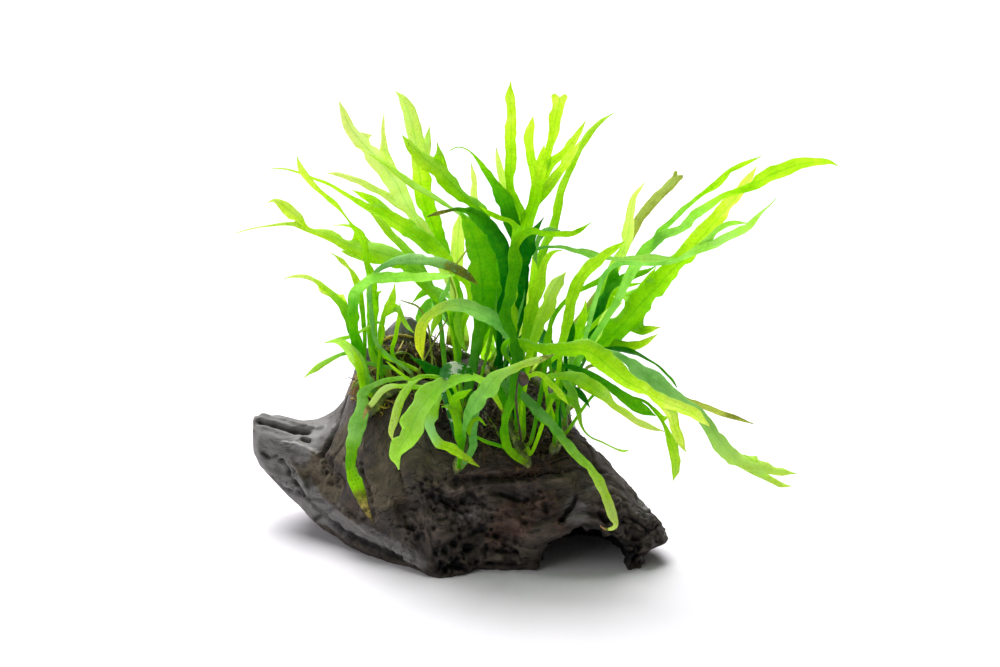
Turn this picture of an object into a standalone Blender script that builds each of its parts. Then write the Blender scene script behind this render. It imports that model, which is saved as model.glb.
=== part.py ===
"""A java fern grown fast to a lump of driftwood, in metres, +Z up.

The origin is on the flat cut under the wood, +X points to the wood's right end and +Y to its back.
The wood is a loft with a hollow cut under its right end. Four creeping rhizomes lie on it, with a moss
mat behind the left one, and every frond is a thin forked strip that starts on a rhizome.
"""

import math

import bmesh
import bpy
from mathutils import Matrix, Vector, noise
from mathutils.bvhtree import BVHTree

MM = 0.001

# The picture that the fronds were drawn on, 1000 x 667 pixels: its middle, its focal length in pixels,
# and the eye, 0.94 m in front of the fern and looking down on it by 18 degrees.
PICTURE_MIDDLE = (500.0, 333.5)
FOCAL = 2361.0
TILT = math.radians(18)
EYE = Vector((0.016, -0.8978, 0.3811))
RIGHT = Vector((1, 0, 0))
FORWARD = Vector((0, math.cos(TILT), -math.sin(TILT)))
UP = Vector((0, math.sin(TILT), math.cos(TILT)))

GAP = 0.4 * MM  # between pieces that touch

# Cross-sections of the wood in millimetres: at x, the ring of (y, z) points that runs from the bottom
# of the front, up the front, over the top and down the back.
WOOD_SECTIONS = [
    (-87, [(23, 30), (22, 33), (22, 36), (23, 39), (25, 41), (28, 42),
           (31, 42), (34, 41), (37, 38), (38, 35), (36, 32), (30, 29)]),
    (-84, [(20, 27), (17, 30), (17, 35), (18, 39), (22, 42), (26, 43),
           (31, 43), (36, 42), (40, 38), (41, 34), (39, 28), (30, 25)]),
    (-77, [(17, 19), (14, 24), (14, 31), (16, 37), (20, 41), (25, 43),
           (30, 43), (36, 42), (41, 38), (43, 31), (41, 23), (31, 17)]),
    (-68, [(11, 11), (8, 17), (8, 25), (11, 33), (15, 38), (20, 41),
           (27, 42), (35, 41), (42, 37), (45, 28), (43, 16), (32, 9)]),
    (-58, [(3, 6), (-1, 13), (-1, 22), (3, 31), (9, 37), (16, 40),
           (25, 42), (34, 42), (43, 37), (47, 26), (45, 12), (30, 4)]),
    (-50, [(-5, 2), (-9, 10), (-9, 22), (-5, 33), (1, 40), (9, 44),
           (19, 48), (29, 49), (42, 44), (48, 30), (46, 12), (26, -1)]),
    (-43, [(-11, 0), (-15, 8), (-15, 22), (-12, 35), (-6, 46), (2, 54),
           (13, 62), (24, 68), (38, 61), (47, 38), (47, 13), (26, -3)]),
    (-33, [(-19, -2), (-22, 8), (-21, 22), (-17, 38), (-11, 50), (-2, 59),
           (12, 70), (24, 81), (38, 71), (47, 42), (47, 13), (26, -4)]),
    (-21, [(-27, -3), (-30, 7), (-27, 22), (-21, 40), (-14, 52), (-4, 61),
           (10, 70), (24, 90), (37, 77), (46, 45), (47, 13), (26, -4)]),
    (-8, [(-36, -4), (-37, 5), (-31, 20), (-23, 38), (-15, 52), (-4, 61),
          (8, 67), (20, 74), (34, 68), (44, 42), (46, 13), (26, -4)]),
    (8, [(-31, -4), (-32, 6), (-28, 20), (-22, 36), (-15, 50), (-5, 59),
         (7, 65), (19, 69), (33, 63), (43, 42), (46, 13), (26, -4)]),
    (22, [(-29, -4), (-31, 7), (-27, 20), (-20, 34), (-13, 47), (-4, 57),
          (8, 63), (20, 67), (33, 58), (42, 38), (45, 13), (26, -4)]),
    (36, [(-29, -4), (-32, 9), (-30, 21), (-24, 33), (-15, 43), (-6, 51),
          (4, 57), (14, 59), (27, 52), (38, 34), (42, 12), (26, -4)]),
    (48, [(-29, -4), (-32, 9), (-31, 20), (-26, 29), (-18, 36), (-10, 41),
          (0, 44), (10, 45), (22, 40), (33, 26), (37, 10), (22, -4)]),
    (60, [(-29, -4), (-32, 8), (-31, 16), (-27, 23), (-20, 28), (-13, 31),
          (-4, 32), (6, 31), (16, 26), (25, 17), (28, 7), (18, -4)]),
    (71, [(-28, -4), (-30, 5), (-29, 11), (-26, 17), (-20, 20), (-14, 22),
          (-7, 22), (0, 20), (7, 16), (12, 10), (13, 3), (4, -4)]),
    (79, [(-25, -3), (-27, 3), (-26, 7), (-24, 11), (-20, 14), (-16, 15),
          (-12, 15), (-8, 13), (-5, 10), (-3, 6), (-4, 1), (-12, -3)]),
    (83, [(-21, 1), (-22, 3), (-22, 6), (-20, 8), (-18, 9), (-16, 10),
          (-14, 10), (-12, 8), (-10, 7), (-10, 4), (-11, 2), (-15, 0)]),
]
WOOD_RINGS = 54
WOOD_SIDES = 40
WOOD_TRIANGLES = 1920
# Lumps and ridges of the grain: how far they rise, and how long they are along X, Y and Z, in millimetres.
WOOD_LUMPS = ((1.8, (18, 16, 16)), (1.7, (30, 8, 8)), (1.0, (9, 9, 14)))
ARCH_MIDDLE = (49.5, -27, -1)  # the hollow under the right end, an ellipsoid cut out of the wood
ARCH_RADII = (19, 33, 19.5)
# Knots and rot holes: the middle of the mouth, the radius and the depth, in millimetres.
WOOD_PITS = [
    ((-70, 9, 38), 6, 4), ((-62, 1, 24), 7, 5), ((-74, 13, 25), 6, 4), ((-50, -8, 27), 8, 5),
    ((-22, -28, 24), 9, 6), ((4, -30, 25), 9, 6), ((20, -30, 12), 8, 5), ((-16, -33, 12), 7, 4),
    ((70, -28, 14), 6, 4), ((-36, -18, 44), 7, 4), ((40, -27, 30), 7, 4), ((-10, 44, 40), 12, 6),
    ((26, 42, 30), 12, 6), ((-45, 47, 24), 9, 5), ((58, 22, 20), 8, 4), ((6, -31, 5), 6, 4),
    ((-30, -21, 10), 8, 3), ((-80, 18, 34), 5, 3),
]
WOOD_TONE = (0.035, 0.026, 0.022)
FLOOR_SIZE = 0.4  # the block under the wood that its flat underside is cut with

# The rhizomes' routes over the wood in millimetres. Each is then lifted until it lies on the wood.
RHIZOMES = {
    "rhizome_left": [(-1, -27, 40), (1, -22, 48), (2, -13, 57), (-3, -4, 64), (-11, 2, 67),
                     (-20, 4, 68), (-29, 2, 64), (-37, -4, 56)],
    "rhizome_centre": [(27, -22, 41), (25, -18, 48), (20, -11, 56), (17, -2, 62), (13, 7, 66),
                       (9, 15, 70)],
    "rhizome_right": [(36, -16, 44), (42, -8, 50), (43, 2, 53), (36, 10, 60), (29, 17, 64),
                      (22, 22, 66)],
    "rhizome_back": [(-6, 23, 75), (-1, 30, 69), (8, 33, 66), (18, 35, 61), (27, 35, 54),
                     (34, 33, 50)],
}
RHIZOME_RADIUS = 2.2 * MM
RHIZOME_STEP = 5.5 * MM
RHIZOME_KNOBS = 0.16  # how much thicker and thinner it gets, over KNOB_LENGTH
KNOB_LENGTH = 5 * MM
RHIZOME_END = 0.6  # its ends' thickness, as a share of the middle's
RHIZOME_TONE = (0.20, 0.24, 0.05)

MOSS_MIDDLE = (-20, 12, 73)
MOSS_RADII = (17, 6.5, 9)
MOSS_TUFT_HEIGHT = 1.6 * MM
MOSS_TUFT_WIDTH = 5 * MM
MOSS_TONE = (0.10, 0.085, 0.02)

BLADE = 0.6 * MM  # thickness of a frond
ROW_STEP = 7.8 * MM  # length of frond between two rows of its points
BROAD = 6.5 * MM  # a frond with a blade this wide is folded along its midrib
CAMBER = 0.14  # how high the midrib stands, in blade widths
MOST_TURNED = 0.35  # a blade seen edge on is at most 1 / this wider than it looks
LOBE_NECK = 0.8 * MM  # from the main blade's edge to a lobe's first row
STALK_SHARE = 0.8  # a stalk's width, as a share of the blade's first drawn width
THINNEST_STALK = 1.4  # millimetres
REAR_STALK = 2.2 * MM  # the stalk's width of a frond behind the plant
STALK_LENGTH = 4 * MM  # how far a stalk grows straight out of the rhizome
SPARE = 0.1 * MM  # how much farther than GAP the blades are combed apart
FROND_TONES = {
    "lime": (0.38, 0.68, 0.01),
    "mid": (0.14, 0.46, 0.02),
    "deep": (0.02, 0.20, 0.01),
    "pale": (0.62, 0.80, 0.16),
    "teal": (0.10, 0.34, 0.09),
    "olive": (0.16, 0.20, 0.03),
}

# Each frond: name; rhizome and how far along it the frond starts; how far away its middle and its tip
# are (millimetres along Y); how far the blade is turned about its length from facing the eye (degrees);
# tone; the blade as seen, base to tip, as (column, row, width in millimetres); and its lobes, each with
# how much farther away its tip is than its root, and its own blade from the root on.
FRONDS = [
    ("frond_back_left_broad", "rhizome_back", 0.04, (48, 72), 22, "pale",
     [(455, 300, 3.2), (437, 252, 4.6), (421, 226, 5.2), (410, 210, 6), (403, 197, 7), (396, 183, 7.8),
      (385, 168, 7.6), (374, 155, 7.2), (364, 145, 6.4), (354, 133, 5.2), (347, 122, 4.2), (343, 110, 3),
      (339, 101, 0.8)],
     [(8, [(385, 158, 3.6), (384, 146, 3.2), (383, 131, 1.8), (384, 112, 0.6)]),
      (-8, [(406, 204, 3), (396, 200, 3), (386, 195, 3), (374, 189, 3), (361, 182, 3), (348, 177, 2.4),
            (335, 174, 1.6), (326, 173, 0.7)])]),
    ("frond_back_tall_left", "rhizome_back", 0.16, (42, 58), -20, "lime",
     [(460, 300, 3), (444, 260, 6), (434, 228, 7), (427, 210, 7.4), (422, 190, 7.4), (419, 170, 7.4),
      (417, 150, 7), (414, 132, 6.6), (411, 120, 6.2), (407, 108, 5.4), (402, 98, 3.4), (395, 91, 0.8)],
     [(6, [(423, 160, 3), (426, 145, 2.6), (428, 134, 2.2), (430, 126, 0.8)])]),
    ("frond_left_leaning", "rhizome_back", 0.30, (32, 34), 25, "mid",
     [(500, 300, 3), (482, 212, 6), (470, 201, 5), (460, 192, 6), (448, 180, 6.8), (436, 168, 7),
      (424, 158, 6.4), (414, 148, 5.2), (407, 141, 3.4), (402, 135, 0.8)],
     [(5, [(441, 172, 3.4), (440, 160, 3), (439, 151, 2), (437, 142, 0.8)])]),
    ("frond_left_edge_on", "rhizome_left", 0.30, (16, 24), 66, "mid",
     [(495, 300, 1.6), (475, 225, 1.7), (450, 207, 1.6), (437, 198, 2), (425, 191, 2.2), (412, 183, 2.4),
      (400, 174, 2.2), (388, 165, 1.6), (378, 159, 1), (369, 154, 0.6)],
     []),
    ("frond_back_small_pale", "rhizome_back", 0.42, (44, 54), 15, "pale",
     [(478, 260, 2), (477, 215, 2.8), (474, 198, 3), (474, 180, 2.6), (471, 162, 0.8)],
     []),
    ("frond_dark_centre_left", "rhizome_centre", 0.80, (14, 10), -25, "deep",
     [(521, 310, 3), (521, 250, 5), (512, 224, 6), (507, 210, 6), (503, 200, 5.4), (497, 190, 4.4),
      (490, 180, 3.6), (484, 170, 2.6), (479, 161, 1.6), (471, 152, 0.6)],
     []),
    ("frond_tall_fork", "rhizome_centre", 0.98, (24, 30), 18, "lime",
     [(517, 300, 3), (522, 250, 4), (527, 222, 6), (533, 208, 4.6), (537, 196, 6), (539, 182, 5.4),
      (542, 170, 5.4), (547, 156, 3.6), (551, 144, 3.2), (554, 132, 4.4), (555, 122, 5), (557, 112, 5.8),
      (559, 103, 6.2), (560, 93, 6)],
     [(6, [(525, 222, 4), (520, 212, 4.4), (514, 200, 4.6), (511, 180, 4.4), (511, 160, 4.2), (511, 140, 4.8),
           (511, 115, 5.2), (510, 100, 4.4), (510, 90, 2.4), (511, 80, 0.6)]),
      (-7, [(537, 175, 4), (532, 162, 3.6), (530, 150, 3.6), (529, 140, 4), (530, 130, 4), (532, 122, 2.6),
            (533, 116, 0.8)]),
      (9, [(546, 168, 4), (552, 162, 3.8), (560, 156, 3.2), (568, 147, 3.2), (575, 139, 3), (581, 129, 2),
           (586, 120, 0.8)]),
      (-9, [(538, 200, 4.4), (545, 190, 4.2), (552, 182, 4.2), (560, 170, 4), (568, 160, 3.6), (574, 151, 3),
            (580, 141, 0.8)])]),
    ("frond_right_whip", "rhizome_right", 0.92, (34, 46), -24, "lime",
     [(535, 285, 3.6), (543, 250, 3.6), (551, 232, 3.8), (556, 218, 3.6), (558, 205, 3.4), (561, 190, 3.4),
      (567, 176, 3), (573, 162, 2.8), (580, 148, 2.8), (588, 135, 2.8), (596, 126, 2.2), (604, 119, 1.4),
      (614, 113, 0.6)],
     []),
    ("frond_centre_trident", "rhizome_centre", 0.03, (-32, -6), 12, "deep",
     [(518, 458, 3), (509, 449, 3.6), (505, 437, 4), (505, 423, 3.8), (509, 410, 4.2), (514, 398, 4.8),
      (518, 378, 5.2), (518, 355, 5), (512, 335, 4.6), (505, 312, 4.6), (510, 292, 4.8), (515, 270, 5),
      (515, 250, 4.8), (520, 237, 4), (532, 231, 2.6), (545, 234, 2), (560, 234, 2.4), (573, 233, 2.6),
      (582, 229, 1.8), (592, 222, 0.6)],
     [(-6, [(518, 240, 3), (512, 222, 1.8), (500, 218, 2), (488, 212, 1.8), (479, 206, 0.6)])]),
    ("frond_arch_left_dark", "rhizome_centre", 0.66, (-8, -22), 20, "deep",
     [(500, 318, 3), (506, 290, 5), (507, 268, 6), (502, 246, 6.4), (491, 229, 6), (479, 217, 5),
      (468, 211, 3.2), (457, 209, 1.6), (447, 211, 1.2), (438, 213, 1.6), (427, 217, 0.8)],
     []),
    ("frond_broad_mid", "rhizome_left", 0.38, (2, 6), -18, "mid",
     [(478, 335, 5), (483, 300, 9), (481, 272, 11.4), (476, 245, 9.6), (468, 225, 5.6), (460, 212, 1.6)],
     []),
    ("frond_left_grey_arch", "rhizome_left", 0.70, (-10, -20), -30, "teal",
     [(378, 345, 1.6), (371, 310, 1.8), (370, 285, 1.8), (376, 272, 2), (386, 265, 2.8), (397, 261, 3.8),
      (410, 259, 4.2), (425, 259, 4.4), (440, 262, 4.6), (453, 267, 5), (464, 273, 4.6), (472, 279, 3),
      (478, 285, 0.8)],
     []),
    ("frond_left_light_arch", "rhizome_left", 0.90, (-14, -28), 25, "lime",
     [(366, 385, 3.6), (358, 350, 4.2), (355, 325, 4.6), (354, 305, 5), (357, 292, 5), (364, 284, 3.6),
      (372, 279, 3.6), (382, 278, 4.2), (393, 278, 4.4), (406, 277, 4), (420, 277, 3.8), (432, 277, 3.2),
      (443, 276, 2.6), (455, 275, 0.8)],
     []),
    ("frond_left_whip", "rhizome_left", 0.80, (6, 12), -22, "lime",
     [(374, 360, 3), (372, 320, 4.4), (372, 292, 4.6), (370, 272, 3.4), (366, 258, 3.2), (364, 245, 3),
      (360, 234, 3.2), (353, 227, 1.8), (349, 221, 0.8), (343, 213, 0.9), (337, 206, 1.8), (330, 200, 2),
      (322, 193, 1.8), (315, 187, 2.2), (309, 180, 2.4), (303, 172, 2.8), (299, 164, 2), (297, 156, 0.7)],
     []),
    ("frond_far_left", "rhizome_left", 0.46, (8, 16), 20, "lime",
     [(455, 320, 3.4), (430, 288, 5), (405, 262, 7), (390, 256, 8), (374, 251, 8.6), (358, 248, 7),
      (345, 243, 5), (332, 236, 4.4), (320, 232, 4), (312, 230, 2.4), (305, 226, 1.8), (298, 218, 4.6),
      (289, 210, 4.8), (280, 203, 3.4), (273, 200, 1.8), (268, 203, 0.7)],
     [(-5, [(307, 227, 1.6), (295, 224, 1.4), (282, 224, 1.4), (268, 226, 0.8), (250, 229, 0.6),
            (236, 233, 0.5)]),
      (7, [(368, 240, 2.2), (357, 230, 1.6), (345, 225, 1.1), (332, 226, 0.6)])]),
    ("frond_left_long", "rhizome_back", 0.10, (40, 56), -26, "lime",
     [(470, 290, 3), (445, 262, 6), (425, 242, 7), (410, 231, 7), (396, 222, 6.4), (382, 214, 5),
      (368, 208, 3.6), (355, 201, 2.6), (343, 193, 1.8), (330, 185, 1.4), (315, 179, 1), (300, 173, 0.8),
      (285, 169, 0.7), (270, 168, 0.6)],
     [(7, [(384, 211, 3.4), (374, 202, 3.4), (364, 196, 2.6), (352, 190, 0.8)])]),
    ("frond_left_strip", "rhizome_left", 0.54, (20, 28), 30, "mid",
     [(436, 300, 2.4), (420, 265, 3), (408, 251, 3.4), (397, 240, 3.4), (386, 228, 3.2), (378, 219, 2.6),
      (369, 211, 1)],
     []),
    ("frond_left_small_twist", "rhizome_left", 0.96, (6, 10), 35, "mid",
     [(365, 345, 1.6), (362, 305, 2.2), (359, 287, 2.6), (356, 279, 2.6), (352, 272, 1.8), (349, 268, 0.9),
      (345, 264, 1.8), (341, 260, 2.2), (336, 256, 1), (331, 253, 0.6)],
     []),
    ("frond_left_arc", "rhizome_left", 0.86, (10, 16), 24, "mid",
     [(366, 375, 3), (357, 340, 4.4), (350, 322, 4.6), (344, 308, 4), (338, 300, 2.8), (331, 293, 2.4),
      (324, 287, 2.2), (316, 281, 2.2), (307, 277, 1.8), (297, 276, 1.4), (290, 277, 1), (284, 279, 0.7)],
     []),
    ("frond_left_fold", "rhizome_left", 0.98, (-8, -12), -15, "pale",
     [(366, 385, 3), (361, 368, 4.8), (353, 354, 5), (345, 345, 3.6), (335, 341, 2), (324, 343, 0.8)],
     []),
    ("frond_left_droop", "rhizome_left", 0.76, (2, -8), 20, "mid",
     [(364, 362, 1.6), (350, 353, 1.6), (335, 357, 1.6), (320, 366, 2.8), (311, 372, 1.8), (304, 378, 0.8)],
     []),
    ("frond_left_fork", "rhizome_left", 0.66, (0, -4), -28, "mid",
     [(378, 352, 2), (379, 338, 2.2), (382, 322, 2.4), (386, 308, 3), (392, 299, 3), (394, 291, 1.8),
      (395, 283, 0.8)],
     [(-5, [(391, 303, 2), (398, 309, 2), (403, 319, 1.8), (408, 327, 1.8), (414, 333, 0.9)])]),
    ("frond_front_arch_teal", "rhizome_centre", 0.56, (-20, -30), -20, "teal",
     [(516, 350, 3.6), (511, 338, 4.4), (503, 328, 5.4), (493, 320, 6.2), (481, 313, 6.4), (468, 308, 5.4),
      (455, 305, 4.4), (443, 308, 4), (433, 313, 3.6), (425, 321, 3.6), (421, 331, 4.2), (420, 342, 4),
      (421, 352, 3.2), (423, 361, 1)],
     []),
    ("frond_yellow_droop", "rhizome_left", 0.58, (-22, -30), 35, "lime",
     [(438, 388, 1.6), (420, 387, 1.8), (404, 386, 2), (392, 386, 2.2), (384, 389, 2.6), (378, 395, 2.6),
      (372, 403, 2.2), (366, 411, 1.8), (363, 420, 0.8)],
     []),
    ("frond_spotted_droop", "rhizome_left", 0.50, (-28, -38), 22, "lime",
     [(440, 378, 1.4), (428, 376, 1.4), (418, 378, 2), (411, 383, 3), (405, 391, 3.6), (400, 401, 3.6),
      (396, 412, 3.4), (393, 424, 3), (391, 434, 2.2), (394, 442, 0.7)],
     []),
    ("frond_big_front_droop", "rhizome_centre", 0.46, (-36, -48), -24, "lime",
     [(478, 378, 3.4), (458, 380, 4.4), (443, 386, 6), (431, 395, 7.6), (422, 406, 7.8), (415, 418, 8),
      (411, 429, 8.4), (406, 439, 8.2), (399, 448, 7), (396, 457, 4.4), (398, 464, 3), (399, 470, 1)],
     []),
    ("frond_front_under_fold", "rhizome_left", 0.24, (-34, -40), 20, "lime",
     [(445, 390, 2.6), (435, 402, 4.2), (432, 414, 5), (430, 425, 4.2), (432, 434, 3.2), (438, 443, 4),
      (446, 447, 4.4), (455, 450, 4.2), (464, 456, 3.4), (472, 462, 2.2), (480, 467, 0.7)],
     []),
    ("frond_front_fold", "rhizome_left", 0.08, (-42, -36), -20, "mid",
     [(463, 440, 2), (465, 425, 2.6), (469, 412, 4.4), (477, 400, 7), (487, 389, 7.4), (494, 379, 6),
      (503, 373, 3.6), (515, 368, 3.4), (527, 363, 3), (540, 359, 2.6), (555, 354, 0.9)],
     []),
    ("frond_front_small", "rhizome_left", 0.03, (-37, -40), 25, "mid",
     [(460, 452, 2), (459, 438, 3), (458, 425, 3.4), (455, 414, 3.2), (449, 406, 2.6), (441, 407, 0.9)],
     [(-3, [(453, 410, 3), (455, 400, 3.6), (463, 394, 3.4), (472, 389, 1)])]),
    ("frond_long_front_drape", "rhizome_centre", 0.40, (-38, -54), -22, "mid",
     [(498, 382, 3.4), (508, 386, 4), (520, 394, 4.2), (533, 405, 4.2), (545, 418, 4.2), (556, 430, 3.8),
      (567, 443, 3.8), (578, 456, 3.6), (590, 468, 3.4), (599, 481, 3.4), (605, 494, 3.4), (610, 507, 3.6),
      (614, 518, 3.4), (616, 523, 2)],
     []),
    ("frond_thin_stem", "rhizome_centre", 0.12, (-20, -12), 26, "lime",
     [(530, 455, 1.4), (536, 443, 1.5), (543, 423, 1.5), (550, 405, 1.5), (556, 390, 1.6), (559, 368, 1.8),
      (562, 345, 2.6), (567, 325, 4), (571, 303, 4.8), (577, 285, 5), (587, 270, 4.8), (600, 259, 4),
      (612, 250, 3), (625, 241, 0.8)],
     []),
    ("frond_right_arch_big", "rhizome_centre", 0.30, (-38, -46), 24, "lime",
     [(511, 362, 1.6), (503, 351, 2), (508, 341, 2.2), (522, 342, 2.4), (535, 347, 3.4), (547, 350, 4.4),
      (562, 350, 5.4), (577, 349, 6.6), (590, 352, 8), (602, 360, 8.6), (613, 370, 8), (626, 381, 6.2),
      (640, 388, 5.2), (655, 397, 4.6), (670, 404, 4.4), (683, 409, 4.2), (695, 415, 4), (703, 421, 2.2),
      (711, 427, 0.8)],
     [(-6, [(669, 406, 3), (673, 418, 3.6), (675, 428, 3.8), (679, 438, 3.6), (683, 447, 2.4),
            (686, 452, 1)])]),
    ("frond_right_second", "rhizome_right", 0.12, (-28, -38), -20, "lime",
     [(545, 380, 2), (565, 375, 3), (580, 379, 5), (593, 387, 5.4), (604, 395, 4.6), (614, 404, 3),
      (627, 414, 2.6), (640, 422, 2.6), (653, 428, 2), (666, 432, 0.7)],
     [(5, [(588, 384, 2.6), (599, 394, 2.4), (610, 402, 0.9)])]),
    ("frond_right_dark_under", "rhizome_right", 0.26, (-14, -18), 30, "deep",
     [(560, 368, 2), (585, 372, 2.6), (600, 380, 2.6), (612, 388, 3), (622, 396, 4), (633, 404, 5.2),
      (643, 410, 4.4), (656, 416, 1.2)],
     []),
    ("frond_right_long", "rhizome_right", 0.36, (-18, -26), -26, "teal",
     [(575, 350, 2), (600, 351, 2.4), (615, 354, 3), (627, 359, 3.4), (638, 368, 6), (649, 376, 8),
      (661, 385, 7), (672, 394, 5.4), (684, 402, 4.6), (696, 410, 4.4), (706, 421, 5), (715, 434, 6.2),
      (725, 447, 7), (737, 459, 7), (750, 464, 5), (765, 467, 4.8), (780, 471, 3.4), (797, 474, 0.8)],
     [(-5, [(752, 467, 3.4), (762, 474, 2.8), (772, 480, 2.6), (782, 485, 2.4), (791, 486, 1.4)])]),
    ("frond_right_olive_thin", "rhizome_right", 0.44, (4, 0), 40, "olive",
     [(590, 366, 1.4), (640, 380, 1.4), (672, 392, 1.6), (690, 401, 2), (705, 407, 2), (718, 412, 2.2),
      (730, 416, 1.8), (742, 420, 1.2), (754, 424, 0.6)],
     []),
    ("frond_right_edge_on", "rhizome_right", 0.52, (5, 2), 66, "deep",
     [(590, 352, 1.2), (610, 349, 1.6), (625, 351, 2), (637, 354, 1.6), (648, 360, 0.8), (658, 366, 0.8),
      (666, 374, 0.8), (672, 380, 0.8), (677, 388, 0.6)],
     []),
    ("frond_right_hanging", "rhizome_right", 0.18, (-14, -30), 20, "mid",
     [(600, 390, 1.2), (625, 396, 1.2), (646, 402, 1.2), (656, 413, 1.2), (664, 424, 1.4), (668, 434, 2.6),
      (672, 445, 4.2), (675, 456, 4.2), (676, 465, 4), (675, 473, 3.2), (673, 481, 1)],
     []),
    ("frond_right_thread", "rhizome_right", 0.04, (-26, -42), -30, "lime",
     [(562, 376, 2), (567, 382, 3.6), (573, 391, 3.6), (577, 402, 2.8), (579, 413, 2), (581, 424, 1.2),
      (585, 432, 0.7), (592, 438, 0.6), (602, 442, 0.6), (612, 447, 0.6), (619, 450, 0.9), (624, 451, 1.6),
      (629, 450, 0.7)],
     []),
    ("frond_big_lime", "rhizome_right", 0.66, (12, 20), 20, "lime",
     [(590, 350, 3.2), (604, 342, 7), (618, 329, 10), (633, 312, 10), (654, 290, 8.8), (667, 275, 8),
      (680, 262, 7.6), (692, 248, 7.2), (705, 233, 7), (717, 219, 6.6), (730, 204, 6), (741, 190, 5),
      (750, 177, 3.2), (757, 166, 0.9)],
     [(-6, [(630, 322, 5), (641, 330, 4), (650, 329, 2.8), (661, 327, 0.8)]),
      (-6, [(606, 345, 4.6), (628, 346, 4.2), (640, 345, 3.4), (650, 339, 2.2), (658, 334, 0.8)]),
      (6, [(640, 298, 2.6), (628, 296, 2.2), (613, 297, 0.9)])]),
    ("frond_right_deep", "rhizome_right", 0.76, (26, 32), -20, "deep",
     [(590, 345, 3), (591, 326, 4.4), (598, 309, 5.4), (608, 294, 5.6), (619, 282, 5), (633, 275, 3.4),
      (647, 271, 2), (656, 266, 0.8)],
     [(5, [(609, 284, 3), (614, 272, 3.2), (620, 262, 1)])]),
    ("frond_right_pale_up", "rhizome_right", 0.84, (38, 48), 24, "pale",
     [(600, 300, 3.6), (611, 275, 4.6), (621, 255, 5), (627, 238, 5.6), (629, 225, 5), (631, 212, 3.4),
      (633, 200, 2.8), (639, 190, 1.8), (645, 182, 0.7)],
     []),
    ("frond_right_brown_up", "rhizome_back", 0.86, (46, 56), -28, "olive",
     [(612, 270, 3), (628, 240, 3.4), (639, 219, 3.6), (647, 209, 3.8), (655, 200, 4), (664, 190, 3.8),
      (673, 181, 4), (680, 172, 4.6)],
     []),
    ("frond_right_long_fork", "rhizome_right", 0.60, (0, -10), 22, "lime",
     [(615, 305, 3), (632, 272, 4.4), (645, 252, 4.6), (654, 243, 4.4), (664, 235, 4), (676, 231, 3.2),
      (687, 224, 4), (697, 214, 4), (710, 205, 3.2), (722, 197, 2.6), (735, 192, 2.4), (748, 188, 3.4),
      (758, 182, 5), (770, 175, 5.6), (785, 169, 5.4), (800, 164, 4.6), (815, 162, 3.2), (830, 162, 2.2),
      (838, 166, 0.8)],
     [(9, [(652, 248, 3), (660, 232, 2.8), (672, 221, 2.2), (685, 208, 2.2), (698, 197, 1.6),
           (710, 189, 2.4), (720, 181, 3), (730, 171, 2.2), (742, 165, 2), (762, 156, 0.6)])]),
    ("frond_right_lower", "rhizome_right", 0.48, (-8, -16), 28, "mid",
     [(600, 285, 2), (610, 268, 2.2), (625, 262, 2.8), (642, 263, 2.6), (660, 263, 2.2), (678, 260, 2.2),
      (692, 253, 2.8), (704, 247, 3.6), (716, 244, 3.6), (728, 237, 3.4), (740, 231, 3.6), (750, 225, 3),
      (757, 217, 1.8), (764, 210, 0.8), (770, 205, 0.6), (776, 198, 0.6)],
     [(5, [(706, 244, 1.8), (714, 233, 2), (724, 226, 2.4), (735, 223, 2), (748, 223, 0.8)])]),
    ("frond_teal_reach", "rhizome_centre", 0.74, (-4, -12), 42, "teal",
     [(522, 300, 1.4), (523, 275, 1.4), (529, 254, 1.2), (540, 248, 1.2), (552, 247, 1.2), (563, 247, 1.8),
      (575, 251, 2.6), (588, 254, 3), (602, 258, 3), (616, 259, 2.4), (632, 259, 2.6), (648, 259, 3.2),
      (662, 259, 3), (673, 257, 0.9)],
     []),
    ("frond_centre_pale", "rhizome_centre", 0.36, (-14, -6), -24, "lime",
     [(530, 350, 3), (538, 326, 4.8), (545, 310, 6.4), (549, 298, 7), (554, 288, 6.6), (560, 279, 4),
      (566, 272, 1)],
     []),
    ("frond_centre_v", "rhizome_centre", 0.22, (-18, -14), 20, "mid",
     [(522, 360, 3.2), (526, 335, 4), (531, 312, 5), (536, 295, 6), (541, 280, 4), (543, 268, 3.2),
      (547, 258, 2.6), (553, 252, 1.6), (563, 250, 0.7)],
     [(-4, [(537, 290, 3), (535, 278, 2.8), (534, 267, 2.4), (532, 256, 0.8)])]),
    ("frond_hanging_on_wood", "rhizome_left", 0.72, (-28, -34), 18, "mid",
     [(388, 380, 2), (372, 386, 2.6), (362, 394, 4), (361, 403, 6.6), (359, 415, 7), (356, 431, 6.6),
      (352, 447, 5.4), (351, 461, 4.8), (354, 475, 6), (358, 488, 5.6), (362, 499, 4.4), (366, 510, 2.6),
      (375, 524, 0.8)],
     []),
]
# The fronds behind the plant, which the picture doesn't show: name; rhizome and how far along it; turn;
# tone; and the blade as (x, y, z, width) in millimetres.
BACK_FRONDS = [
    ("frond_rear_left", "rhizome_back", 0.24, 20, "mid",
     [(-6, 42, 82, 3.4), (-13, 57, 84, 6), (-20, 69, 68, 6.4), (-25, 77, 44, 5), (-27, 80, 22, 1.2)]),
    ("frond_rear_centre", "rhizome_back", 0.50, -20, "lime",
     [(8, 48, 78, 3.4), (10, 63, 78, 6.6), (11, 76, 58, 7), (9, 83, 34, 5), (6, 85, 14, 1.2)]),
    ("frond_rear_right", "rhizome_back", 0.72, 24, "deep",
     [(24, 47, 72, 3.2), (32, 60, 70, 6), (40, 71, 52, 6.2), (45, 77, 30, 4), (47, 79, 12, 1.1)]),
    ("frond_rear_reach", "rhizome_back", 0.60, -26, "mid",
     [(15, 48, 84, 3.4), (14, 60, 96, 5.4), (9, 73, 100, 5.6), (2, 86, 88, 1.2)]),
]

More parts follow.
